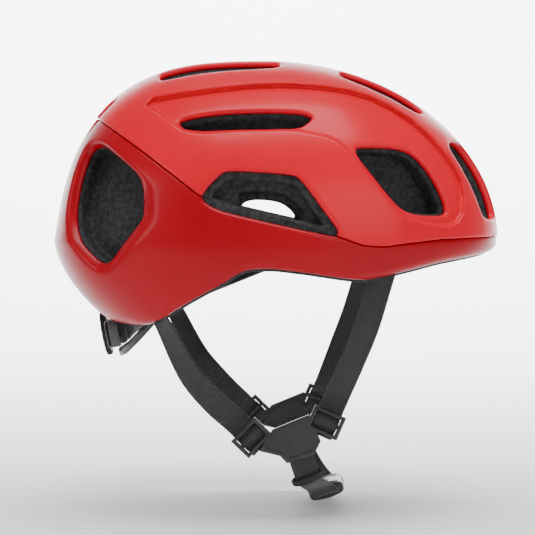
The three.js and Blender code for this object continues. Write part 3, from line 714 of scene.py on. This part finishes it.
class Path:
    """A smooth path through points, by its length, with a width direction that turns along it."""

    def __init__(self, points, widths):
        points = np.array(points, float)
        ends = [2 * points[0] - points[1], *points, 2 * points[-1] - points[-2]]
        dense = []
        for i in range(len(points) - 1):
            p0, p1, p2, p3 = ends[i:i + 4]
            d0, d1, d2 = [math.sqrt(np.linalg.norm(b - a)) for a, b in ((p0, p1), (p1, p2), (p2, p3))]
            m1 = ((p1 - p0) / d0 - (p2 - p0) / (d0 + d1) + (p2 - p1) / d1) * d1
            m2 = ((p2 - p1) / d1 - (p3 - p1) / (d1 + d2) + (p3 - p2) / d2) * d1
            s = np.linspace(0, 1, 41)[:-1, None]
            dense.append((2 * s ** 3 - 3 * s ** 2 + 1) * p1 + (s ** 3 - 2 * s ** 2 + s) * m1
                         + (3 * s ** 2 - 2 * s ** 3) * p2 + (s ** 3 - s ** 2) * m2)
        self.dense = np.concatenate(dense + [points[-1:]])
        steps = np.linalg.norm(np.diff(self.dense, axis=0), axis=1)
        self.lengths = np.concatenate([[0], np.cumsum(steps)])
        self.length = self.lengths[-1]
        self.widths = np.array(widths, float)

    def at(self, t):
        """Points, width directions, normals and tangents at shares t of the length."""
        s = np.asarray(t) * self.length
        place = lambda q: np.stack([np.interp(q, self.lengths, self.dense[:, i]) for i in range(3)], axis=1)
        tangent = place(np.minimum(s + 0.6, self.length)) - place(np.maximum(s - 0.6, 0))
        tangent /= np.linalg.norm(tangent, axis=1)[:, None]
        share = np.clip(t, 0, 1) * (len(self.widths) - 1)
        i = np.minimum(share.astype(int), len(self.widths) - 2)
        across = self.widths[i] + (share - i)[:, None] * (self.widths[i + 1] - self.widths[i])
        across -= (across * tangent).sum(axis=1)[:, None] * tangent
        across /= np.linalg.norm(across, axis=1)[:, None]
        return place(s), across, np.cross(tangent, across), tangent


def on_hand(side, points):
    return [(x, side * y, z) for x, y, z in points]


def web_profile(width, thick, selvedge=0.12):
    """A closed section (across, normal) of woven webbing, a little thicker along its edges."""
    half, flat = width / 2, thick / 2
    across = np.array([-1, -0.97, -0.9, -0.82, -0.6, -0.3, 0, 0.3, 0.6, 0.82, 0.9, 0.97, 1]) * half
    rise = np.array([0.35, 0.8, 1, 1, 0.9, 0.9, 0.9, 0.9, 0.9, 1, 1, 0.8, 0.35]) * flat
    rise[2:4] += selvedge / 2
    rise[9:11] += selvedge / 2
    return np.concatenate([np.stack([across, rise], axis=1), np.stack([across, -rise], axis=1)[::-1]])


def sweep(name, path, profile, spacing=0.8, start=0.0, end=1.0, scale=None):
    """A closed sweep of the profile along the path; its map runs across and along in millimetres."""
    count = max(8, int(path.length * (end - start) / spacing))
    t = np.linspace(start, end, count + 1)
    centre, across, normal, _ = path.at(t)
    wide = np.ones((len(t), 2)) if scale is None else np.array([scale(value) for value in t])
    section = len(profile)
    points = (centre[:, None] + across[:, None] * (profile[None, :, :1] * wide[:, None, :1])
              + normal[:, None] * (profile[None, :, 1:] * wide[:, None, 1:]))
    faces = []
    for i in range(count):
        for k in range(section):
            n = (k + 1) % section
            faces.append((i * section + k, i * section + n, (i + 1) * section + n, (i + 1) * section + k))
    faces.append(tuple(reversed(range(section))))
    faces.append(tuple(count * section + k for k in range(section)))
    piece = as_object(name, points.reshape(-1, 3), faces)
    layer = piece.data.uv_layers.new(name="map")
    u = np.tile(profile[:, 0], len(t))
    v = np.repeat(t * path.length, section)
    corner = np.zeros(len(piece.data.loops), np.int32)
    piece.data.loops.foreach_get("vertex_index", corner)
    layer.data.foreach_set("uv", np.stack([u[corner], v[corner]], axis=1).astype(np.float32).ravel())
    turn_outward(piece)
    return piece


def turn_outward(piece):
    """Faces point out of the closed piece."""
    mesh = piece.data
    mesh.calc_loop_triangles()
    points = np.zeros(len(mesh.vertices) * 3)
    mesh.vertices.foreach_get("co", points)
    points = points.reshape(-1, 3)
    corners = np.zeros(len(mesh.loop_triangles) * 3, np.int32)
    mesh.loop_triangles.foreach_get("vertices", corners)
    a, b, c = (points[corners.reshape(-1, 3)[:, i]] for i in range(3))
    if np.einsum("ij,ij->i", a, np.cross(b, c)).sum() < 0:
        mesh.flip_normals()


def joined(name, pieces):
    bpy.ops.object.select_all(action="DESELECT")
    for piece in pieces:
        piece.select_set(True)
    bpy.context.view_layer.objects.active = pieces[0]
    bpy.ops.object.join()
    pieces[0].name = name
    return pieces[0]


FRONT_EXIT, REAR_EXIT = (66, 80, -25), (-60.5, 73.5, -51)
FRONT_FRAME = ((35, -108), (-0.404, -0.915))
REAR_FRAME = ((-9.5, -117), (0.72, -0.694))
DIVIDER_Y = 65
FRONT_WIDTH, REAR_WIDTH = (0.915, 0, -0.404), (0.694, 0, 0.72)


def threaded(frame_at):
    (mx, mz), (ax, az) = frame_at
    return [(mx + ax * s, DIVIDER_Y + out, mz + az * s)
            for s, out in [(-12, -4.4), (-7, -3.9), (0, -0.9), (6.6, -3.8), (9, -3.9)]]


FRONT_STRAP = [FRONT_EXIT, (58.5, 76.5, -50), (50, 70.5, -72), *threaded(FRONT_FRAME)]
REAR_STRAP = [REAR_EXIT, (-46, 70.5, -79), (-32, 66.5, -95.5), *threaded(REAR_FRAME)]
FRONT_TURNS = [(0.9, 0.42, 0), (0.92, 0.15, -0.3), FRONT_WIDTH, FRONT_WIDTH]
REAR_TURNS = [(0.5, 0.8, 0.3), (0.65, 0.5, 0.6), REAR_WIDTH, REAR_WIDTH]
BUCKLE_AT, BUCKLE_TILT = (37, 0, -156), math.radians(17)
CHIN_TOP = [(19.5, 61.7, -121), (20.3, 61.5, -129), (25, 57, -142.5)]
CHIN_TURN = (math.cos(BUCKLE_TILT), 0, math.sin(BUCKLE_TILT))


def chin_path(near, far, drop):
    x = BUCKLE_AT[0] + drop * math.sin(BUCKLE_TILT)
    z = BUCKLE_AT[2] - drop * math.cos(BUCKLE_TILT)
    bend = ((x + 25) / 2 + 1.5, far + 6.5, z + 4.6)
    return [*CHIN_TOP, bend, (x, far, z), (x, (near + far) / 2, z), (x, near, z)]


WEB = web_profile(15, 1.5)
SLEEVE = 10.0
for side, hand in ((-1, "right"), (1, "left")):
    for name, points, turns in (("front_strap", FRONT_STRAP, FRONT_TURNS),
                                ("rear_strap", REAR_STRAP, REAR_TURNS)):
        first, second = np.array(points[0], float), np.array(points[1], float)
        way = (second - first) / np.linalg.norm(second - first)
        path = Path(on_hand(side, [tuple(first - way * SLEEVE), *points]), on_hand(side, [turns[0], *turns]))
        # The width turns over the same stretch as in the CAD part, so the extra point keeps its place.
        path.widths = np.array(on_hand(side, turns), float)
        piece = sweep(f"{name}_web_{hand}", path, WEB)
        piece.data.materials.append(WEBBING)
        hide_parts(f"{name}_{hand}")
        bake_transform(piece)
    spec = (24.4, 31, 0) if side < 0 else (9, 42, 4.4)
    path = Path(on_hand(side, chin_path(*spec)), on_hand(side, [CHIN_TURN, CHIN_TURN]))
    dress(sweep(f"chin_strap_web_{hand}", path, WEB),
          WEBBING, "webbing", f"harness_{hand}", f"chin_strap_{hand}")

# Hard parts of the harness ----------------------------------------------------------------------

HARD_STEP = 0.36


def frame_outline(frame_at, width, length):
    (mx, mz), (ax, az) = frame_at
    return np.array([(mx + (u * width * az - v * length * ax) / 2,
                      mz - (u * width * ax + v * length * az) / 2)
                     for u, v in ((-1, -1), (1, -1), (1, 1), (-1, 1))])


DIVIDER_BODY = np.array([(3, -112), (25, -103), (32, -119), (28, -127),
                         (11.7, -132.4), (7.5, -128), (-5, -125.0)])
WINDOW, BAR = (16.2, 10.6), 2.1


def divider_field(side):
    outers = [frame_outline(f, WINDOW[0] + 2 * BAR, WINDOW[1] + 2 * BAR) for f in (FRONT_FRAME, REAR_FRAME)]
    windows = [frame_outline(f, WINDOW[0] - 0.8, WINDOW[1] - 0.2) for f in (FRONT_FRAME, REAR_FRAME)]
    backs = [frame_outline(f, WINDOW[0] + 2 * BAR, 2.4) for f in (FRONT_FRAME, REAR_FRAME)]

    def field(p):
        x, z = p[:, 0], p[:, 2]
        out = side * p[:, 1] - DIVIDER_Y
        away = np.abs(out)
        plate = polygon_distance(x, z, DIVIDER_BODY)
        body = smooth_max(plate, away - 1.75, 1.0)
        dish = smooth_max(plate + 2.4, 1.0 - away, 0.6)
        body = smooth_max(body, -dish, 0.6)
        for outer, window in zip(outers, windows):
            hole = polygon_distance(x, z, window)
            bar = smooth_max(polygon_distance(x, z, outer), away - 1.8, 1.4)
            body = smooth_max(smooth_min(body, bar, 0.3), -hole, 0.9)
        for back, window in zip(backs, windows):
            bridge = smooth_max(polygon_distance(x, z, back), np.abs(out + 2.1) - 2.1, 0.8)
            gap = smooth_max(polygon_distance(x, z, window), -out - 2.6, 0.4)
            body = smooth_min(body, smooth_max(bridge, -gap, 0.4), 0.3)
        return body
    return field


for side, hand in ((-1, "right"), (1, "left")):
    low, high = sorted((side * (DIVIDER_Y - 5.0), side * (DIVIDER_Y + 2.6)))
    dress(moulded(f"divider_moulding_{hand}", divider_field(side),
                  (-28, low, -138), (52, high, -92), HARD_STEP),
          PLASTIC, "plastic_black", f"harness_{hand}", f"divider_{hand}")

BUCKLE_FRAME = np.eye(4)
BUCKLE_FRAME[:3, 0] = (math.cos(BUCKLE_TILT), 0, math.sin(BUCKLE_TILT))
BUCKLE_FRAME[:3, 2] = (-math.sin(BUCKLE_TILT), 0, math.cos(BUCKLE_TILT))
BUCKLE_FRAME[:3, 3] = BUCKLE_AT


def socket_field(p):
    narrow = np.stack([p[:, 0] * (1 + 0.004 * np.clip(-p[:, 1], 0, 24)), p[:, 1], p[:, 2]], axis=1)
    flat = np.abs(narrow[:, :2] - (0, -10)) - (8, 10)
    plan = np.hypot(*np.maximum(flat, 0).T) + np.minimum(flat.max(axis=1), 0) - 4
    body = smooth_max(plan, np.abs(p[:, 2]) - 4.5 + 0.012 * p[:, 0] ** 2, 2.2)
    mouth = box_distance(p, (0, -4, 0), (18.4, 20, 5), 0.6)
    windows = box_distance(p, (0, -5.5, 0), (30, 9, 4), 1.2)
    slot = box_distance(p, (0, -19, 0), (16.4, 4.4, 12), 0.8)
    for cut in (mouth, windows, slot):
        body = smooth_max(body, -cut, 0.7)
    thumb = np.linalg.norm((p - (0, -8, 21)) * (1, 0.8, 1), axis=1) - 17.0
    return smooth_max(body, -thumb, 0.8)


def tongue_field(p):
    flat = np.abs(p[:, :2] - (0, 11.4)) - (8, 4)
    plan = np.hypot(*np.maximum(flat, 0).T) + np.minimum(flat.max(axis=1), 0) - 3
    body = smooth_max(plan, np.abs(p[:, 2]) - 3.2, 1.8)
    ridge = np.abs((p[:, 1] - 6.3) / 1.2) - 0.45
    guide = box_distance(p, (0, -3, 0), (4, 16, 3.4), 0.7)
    body = smooth_min(body, guide, 0.8)
    for y in (8.4, 13.6):
        body = smooth_max(body, -box_distance(p, (0, y, 0), (16.4, 2.6, 12), 0.5), 0.8)
    groove = smooth_max(smooth_max(ridge * 1.2, 2.8 - np.abs(p[:, 2]), 0.4), np.abs(p[:, 0]) - 7.5, 0.8)
    return smooth_max(body, -groove, 0.4)


PRONG = [(3.4, 4.1), (5.8, 4.1), (6.4, -1.5), (9, -2), (9, -5.5), (7, -9), (5.2, -9), (4, -2)]


def prong_field(sign):
    outline = rounded(PRONG, 1)

    def field(p):
        return smooth_max(polygon_distance(sign * p[:, 0], p[:, 1], outline), np.abs(p[:, 2]) - 1.6, 0.8)
    return field


dress(moulded("buckle_socket_moulding", socket_field, (-14, -26, -6), (14, 6, 6), HARD_STEP, BUCKLE_FRAME),
      PLASTIC, "plastic_black", "harness_right", "buckle_socket")
dress(moulded("buckle_tongue_moulding", tongue_field,
              (-13, -12.5, -4.6), (13, 20, 4.6), HARD_STEP, BUCKLE_FRAME),
      PLASTIC, "plastic_black", "tongue", "buckle_tongue")
for sign, name in ((1, "front"), (-1, "rear")):
    low, high = sorted((sign * 2.4, sign * 10.4))
    dress(moulded(f"prong_moulding_{name}", prong_field(sign), (low, -11, -2.8), (high, 6, 2.8), HARD_STEP,
                  BUCKLE_FRAME), PLASTIC, "plastic_black", f"{name}_prong", f"prong_{name}")


def keeper_field(p):
    oval = (np.hypot(p[:, 0] / 10.5, p[:, 1] / 4) - 1) * 4
    ring = smooth_max(oval, np.abs(p[:, 2]) - 2.5, 1.4)
    slot = box_distance(p, (0, 0, 0), (16, 2.8, 12), 0.5)
    return smooth_max(ring, -slot, 0.6)


for side, hand, spec, t in ((-1, "right", (24.4, 31, 0), 0.36), (1, "left", (9, 42, 4.4), 0.26)):
    path = Path(on_hand(side, chin_path(*spec)), on_hand(side, [CHIN_TURN, CHIN_TURN]))
    at, across, normal, tangent = (value[0] for value in path.at(np.array([t])))
    place = np.eye(4)
    place[:3, 0], place[:3, 1], place[:3, 2], place[:3, 3] = across, normal, tangent, at
    dress(moulded(f"keeper_loop_{hand}", keeper_field, (-12, -5.5, -4), (12, 5.5, 4), HARD_STEP, place),
          RUBBER, "grip_rubber", f"harness_{hand}", f"strap_keeper_{hand}")

# Fit cradle -------------------------------------------------------------------------------------

DIAL_TILT = math.radians(11)
CRADLE_FRAME = np.eye(4)
CRADLE_FRAME[:3, 0] = (0, -1, 0)
CRADLE_FRAME[:3, 1] = (-math.sin(DIAL_TILT), 0, math.cos(DIAL_TILT))
CRADLE_FRAME[:3, 2] = (-math.cos(DIAL_TILT), 0, -math.sin(DIAL_TILT))
CRADLE_FRAME[:3, 3] = (-92, 0, -57)


def slab_distance(p, width, height, radius, low, high, edge):
    flat = np.abs(p[:, :2]) - (width / 2 - radius, height / 2 - radius)
    plan = np.hypot(*np.maximum(flat, 0).T) + np.minimum(flat.max(axis=1), 0) - radius
    return smooth_max(plan, np.abs(p[:, 2] - (low + high) / 2) - (high - low) / 2, edge)


def tray_field(p):
    body = slab_distance(p, 56, 17, 5, 0, 6, 1.4)
    return smooth_max(body, -slab_distance(p, 53, 14.4, 3.5, 1.5, 9, 0.8), 0.6)


def cover_field(p):
    body = slab_distance(p, 56, 17, 5, 6.3, 7.8, 1.0)
    radial = np.hypot(p[:, 0], p[:, 1])
    panel = smooth_max(slab_distance(p, 50, 11, 3, 7.3, 10, 0.4), 15.5 - radial, 0.6)
    body = smooth_max(body, -panel, 0.4)
    return smooth_max(body, 3.2 - radial, 0.5)


def knob_field(p):
    radial = np.hypot(p[:, 0], p[:, 1])
    disc = smooth_max(radial - 12, np.abs(p[:, 2] - 9.95) - 1.75, 0.9)
    shaft = smooth_max(radial - 2.6, np.abs(p[:, 2] - 8) - 2, 0.4)
    body = smooth_min(disc, shaft, 0.5)
    dish = np.linalg.norm(p - (0, 0, 44.0), axis=1) - 33.3
    body = smooth_max(body, -dish, 0.6)
    spoke = np.abs(np.sin(1.5 * np.arctan2(p[:, 1], p[:, 0]))) * radial * 0.66 - 0.7
    ridge = smooth_max(smooth_max(spoke, radial - 9.0, 1.0), np.abs(p[:, 2] - 10.6) - 0.7, 0.5)
    return smooth_min(body, ridge, 0.7)


def grip_field(p):
    radial = np.hypot(p[:, 0], p[:, 1])
    ribs = 0.35 * np.cos(24 * np.arctan2(p[:, 1], p[:, 0]))
    body = smooth_max(radial - 13.62 - ribs, np.abs(p[:, 2] - 9.95) - 1.75, 1.0)
    return smooth_max(body, 12.3 - radial, 0.4)


for name, field, material, slot, body, cad, (wide, tall), low, high in (
        ("housing_tray", tray_field, PLASTIC_GREY, "plastic_grey", "cradle", "dial_housing",
         (30, 10), -1.5, 7.5),
        ("housing_face", cover_field, PLASTIC, "plastic_black", "cradle", "housing_cover",
         (30, 10), 5, 9.2),
        ("knob_face", knob_field, PLASTIC, "plastic_black", "dial", "dial_knob",
         (14, 14), 4.6, 13),
        ("knob_grip", grip_field, RUBBER, "grip_rubber", "dial", "dial_grip",
         (15.5, 15.5), 7, 13)):
    dress(moulded(name, field, (-wide, -tall, low), (wide, tall, high), HARD_STEP, CRADLE_FRAME),
          material, slot, body, cad)


def strip_field(p):
    bend = [(-90.5, -47), (-91.7, -38), (-92.5, -30), (-92.6, -20), (-92.4, -10), (-92, -1)]
    line = np.interp(p[:, 2], [z for _, z in bend], [x for x, _ in bend])
    body = smooth_max(np.abs(p[:, 0] - line) - 0.8, np.abs(p[:, 1]) - 6, 0.9)
    body = smooth_max(body, np.abs(p[:, 2] + 24) - 23, 2.0)
    slot = smooth_max(np.abs(p[:, 1]) - 2.3, np.abs(p[:, 2] + 17.5) - 14, 1.5)
    return smooth_max(body, -slot, 0.6)


dress(moulded("height_rail", strip_field, (-95, -7.5, -49), (-88, 7.5, 1), HARD_STEP),
      PLASTIC, "plastic_black", "cradle", "height_strip")

BAND_PROFILE = np.array([(-2.5, 0.5), (-2.1, 1.0), (-1, 1.15), (1, 1.15), (2.1, 1.0), (2.5, 0.5),
                         (2.5, -0.5), (2.1, -1.0), (1, -1.15), (-1, -1.15), (-2.1, -1.0), (-2.5, -0.5)])
BAND_PATH = [(-67, -52, -45), (-75, -43, -54), (-82, -34, -61.5), (-88, -22, -67.5), (-92, -8, -70),
             (-92, 8, -70), (-88, 22, -67.5), (-82, 34, -61.5), (-75, 43, -54), (-67, 52, -45)]
dress(sweep("nape_band", Path(BAND_PATH, [(-0.2, 0, 1), (-0.2, 0, 1)]), BAND_PROFILE, 1.0),
      PLASTIC, "plastic_black", "cradle", "cradle_band")

ARM_PATH = [(-86.5, 29.5, -55), (-77, 47.5, -46), (-55, 64, -33), (-20, 73, -18), (10, 75, -6), (25, 75.5, 0)]
ARM_HALF = [(-6, 0.3), (-5.6, 0.75), (-4.6, 0.9), (-4.2, 0.62),
            (4.2, 0.62), (4.6, 0.9), (5.6, 0.75), (6, 0.3)]
ARM_PROFILE = np.array(ARM_HALF + [(-across, -out) for across, out in ARM_HALF])


def eye_field(p):
    radial = np.hypot(p[:, 0], p[:, 2])
    body = smooth_max(radial - 8, np.abs(p[:, 1]) - 0.9, 0.8)
    return smooth_max(body, 3.3 - radial, 0.4)


for side, hand in ((-1, "right"), (1, "left")):
    path = Path(on_hand(side, ARM_PATH), on_hand(side, [(-0.1, 0, 1), (0.3, 0, 1)]))
    strip = sweep(f"arm_strip_{hand}", path, ARM_PROFILE, 1.2, 0.0, 1 - 5.0 / path.length)
    place = np.eye(4)
    place[:3, 3] = (25, side * 75.5, 0)
    eye = moulded(f"arm_eye_{hand}", eye_field, (-9.5, -2.2, -9.5), (9.5, 2.2, 9.5), HARD_STEP, place)
    dress(joined(f"cradle_arm_strip_{hand}", [strip, eye]),
          PLASTIC, "plastic_black", "cradle", f"cradle_arm_{hand}")

# Pads -------------------------------------------------------------------------------------------

PAD_THICK, PAD_GAP = 5.0, 2.0


def head_reach(z):
    rise = float(arc(max(0.0, z) / HEAD_CROWN, 2.3))
    return HEAD_FRONT * rise, HEAD_REAR * rise, HEAD_HALF_WIDTH * rise


def on_head_band(angle, z, depth):
    front, rear, side = head_reach(z)
    cos, sin = math.cos(angle), math.sin(angle)
    length = (front if cos > 0 else rear) - depth
    return (math.copysign(length * abs(cos) ** (2 / HEAD_POWER), cos),
            math.copysign((side - depth) * abs(sin) ** (2 / HEAD_POWER), sin), z)


def crown_height(x, y):
    reach = HEAD_FRONT if x > 0 else HEAD_REAR
    spread = abs(x / reach) ** HEAD_POWER + abs(y / HEAD_HALF_WIDTH) ** HEAD_POWER
    return HEAD_CROWN * float(arc(spread ** (1 / HEAD_POWER), 2.3))


def pad(name, place, length, width, channels, along=64, across=20):
    """A quilted pad: place(u, v, share) gives a point from the face that meets the foam (0) to the one that
    meets the head (1); sewn channels cross it at the given shares of its length."""
    grid_u = np.linspace(-0.5, 0.5, along + 1)
    grid_v = np.linspace(-0.5, 0.5, across + 1)
    corner = 0.5 * width

    def fullness(u, v):
        x, y = abs(u) * length, abs(v) * width
        inset = max(x - (length / 2 - corner), 0.0)
        edge = corner - math.hypot(inset, y) if inset > 0 else corner - y
        edge = min(edge, length / 2 - x if inset == 0 else edge)
        swell = math.sqrt(max(0.0, 1 - (1 - min(1.0, max(edge, 0.0) / 3.2)) ** 2))
        for channel in channels:
            swell *= 1 - 0.62 * math.exp(-((u - channel) * length / 1.1) ** 2)
        return swell

    def pinched(u, v):
        """Rounds the pad's corners by drawing the outline in."""
        inset = max(abs(u) * length - (length / 2 - corner), 0.0) / corner
        return u, v * math.sqrt(max(0.02, 1 - (inset * 0.93) ** 2.4))

    points, index = [], {}
    for layer in (0, 1):
        for i, u in enumerate(grid_u):
            for k, v in enumerate(grid_v):
                rim = i in (0, along) or k in (0, across)
                a, b = pinched(u, v)
                swell = fullness(u, v)
                share = 0.24 + 0.76 * swell if layer else 0.16 * (1 - swell)
                if rim:
                    share = 0.2
                index[layer, i, k] = len(points) if not (rim and layer) else index[0, i, k]
                if not (rim and layer):
                    points.append(place(a, b, share))
    faces = []
    for i in range(along):
        for k in range(across):
            for layer in (0, 1):
                corners = ((i, k), (i + 1, k), (i + 1, k + 1), (i, k + 1))
                ring = [index[layer, row, column] for row, column in corners]
                faces.append(tuple(ring if layer else ring[::-1]))
    piece = as_object(name, points, faces)
    turn_outward(piece)
    return piece


def band_pad(name, node_name, middle, span, low, high, channels):
    radians = math.radians

    def place(u, v, share):
        depth = PAD_GAP - 1.2 + share * (PAD_THICK + 1.0)
        return on_head_band(radians(middle) + u * radians(span), (low + high) / 2 + v * (high - low), depth)
    piece = pad(name, place, radians(span) * 95, high - low, channels, 110 if span > 40 else 40)
    dress(piece, PADDING, "padding", "helmet", node_name)


def crown_pad(name, node_name, length, width, x, y, channels):
    def place(u, v, share):
        px, py = x + u * length, y + v * width
        return px, py, crown_height(px, py) - (PAD_GAP - 1.2) - share * (PAD_THICK + 1.0)
    piece = pad(name, place, length, width, channels, 84)
    dress(piece, PADDING, "padding", "helmet", node_name)


band_pad("brow_cushion", "brow_pad", 0, 84, -6, 14, (-0.32, -0.16, 0, 0.16, 0.32))
band_pad("temple_cushion_right", "temple_pad_right", -56, 20, -4, 16, (0,))
band_pad("temple_cushion_left", "temple_pad_left", 56, 20, -4, 16, (0,))
crown_pad("crown_cushion_center", "crown_pad_center", 110, 16, 0, 0, (-0.25, 0, 0.25))
crown_pad("crown_cushion_right", "crown_pad_right", 76, 13, -4, -47, (-0.17, 0.17))
crown_pad("crown_cushion_left", "crown_pad_left", 76, 13, -4, 47, (-0.17, 0.17))

for side, hand in ((-1, "right"), (1, "left")):
    def place(u, v, share, side=side):
        local = np.array([-side * 15 + u * 20, v * 15, -0.3 - share * 4.4, 1])
        return tuple((CRADLE_FRAME @ local)[:3])
    cushion = pad(f"nape_cushion_{hand}", place, 20, 15, (0,), 30, 20)
    dress(cushion, PADDING, "padding", "cradle", f"occipital_pad_{hand}")

# shell_paint_lower maps to the darker red that carries painted shade.
NODE_LOOKS = {"plastic_black": PLASTIC, "plastic_grey": PLASTIC_GREY, "grip_rubber": RUBBER,
              "padding": PADDING, "webbing": WEBBING, "foam": FOAM, "shell_paint": PAINT,
              "shell_paint_lower": SHADED_LOWER_PAINT}
for entry in frame["record"]["subparts"]:
    holder = frame["nodes"][entry["node"]]
    for slot in holder.material_slots:
        slot.material = NODE_LOOKS[entry["material_slot"]]

# Camera, floor and light ------------------------------------------------------------------------

camera_data = bpy.data.cameras.new("camera")
camera_data.sensor_width = 36.0
camera_data.lens = 122.4
camera_data.clip_end = 20.0
camera = bpy.data.objects.new("camera", camera_data)
bpy.context.scene.collection.objects.link(camera)
camera.location = Vector((-4, -1150, 25)) * MM
target = Vector((0.3, 0, -17.4)) * MM
camera.rotation_euler = (target - camera.location).to_track_quat("-Z", "Y").to_euler()
bpy.context.scene.camera = camera

floor_level = cad_low.z - 0.004
# A pale sweep: flat under the helmet, bending up into a wall behind it.
BEND, BEND_AT, WALL_TOP = 2.0, 0.9, 4.5
sweep_line = [(-6.0, 0.0)] + [(BEND_AT + BEND * math.sin(a), BEND * (1 - math.cos(a)))
                              for a in np.linspace(0, math.pi / 2, 17)] + [(BEND_AT + BEND, WALL_TOP)]
sweep_points = [(x / MM, y / MM, (z + floor_level) / MM) for y, z in sweep_line for x in (-6.0, 6.0)]
sweep_faces = [(2 * i, 2 * i + 1, 2 * i + 3, 2 * i + 2) for i in range(len(sweep_line) - 1)]
floor = as_object("floor", sweep_points, sweep_faces)
floor_material, _, _ = new_material("pale_floor", (0.96, 0.96, 0.96), 0.9)
floor.data.materials.append(floor_material)


def area_light(name, place, aim, size, power, tall=None, spread=math.pi):
    data = bpy.data.lights.new(name, "AREA")
    data.energy = power
    data.shape = "RECTANGLE"
    data.size = size
    data.size_y = tall or size
    data.spread = spread
    lamp = bpy.data.objects.new(name, data)
    lamp.location = place
    lamp.rotation_euler = (Vector(aim) - Vector(place)).to_track_quat("-Z", "Y").to_euler()
    bpy.context.scene.collection.objects.link(lamp)


area_light("top_light", (0.1, -0.3, 1.3), (0, 0, 0.05), 1.0, 17, 0.7)
area_light("front_fill", (0.9, -1.4, 0.5), (0, 0, 0), 0.9, 6)
area_light("rear_fill", (-1.2, -0.9, 0.5), (0, 0, 0), 0.7, 5)
area_light("backdrop_light", (0, 0.9, 2.0), (0, 2.5, 0.1), 2.6, 230, 0.5, 2.3)
world = bpy.data.worlds.new("studio")
world.use_nodes = True
world.node_tree.nodes["Background"].inputs["Color"].default_value = (1, 1, 1, 1)
world.node_tree.nodes["Background"].inputs["Strength"].default_value = 0.28
bpy.context.scene.world = world
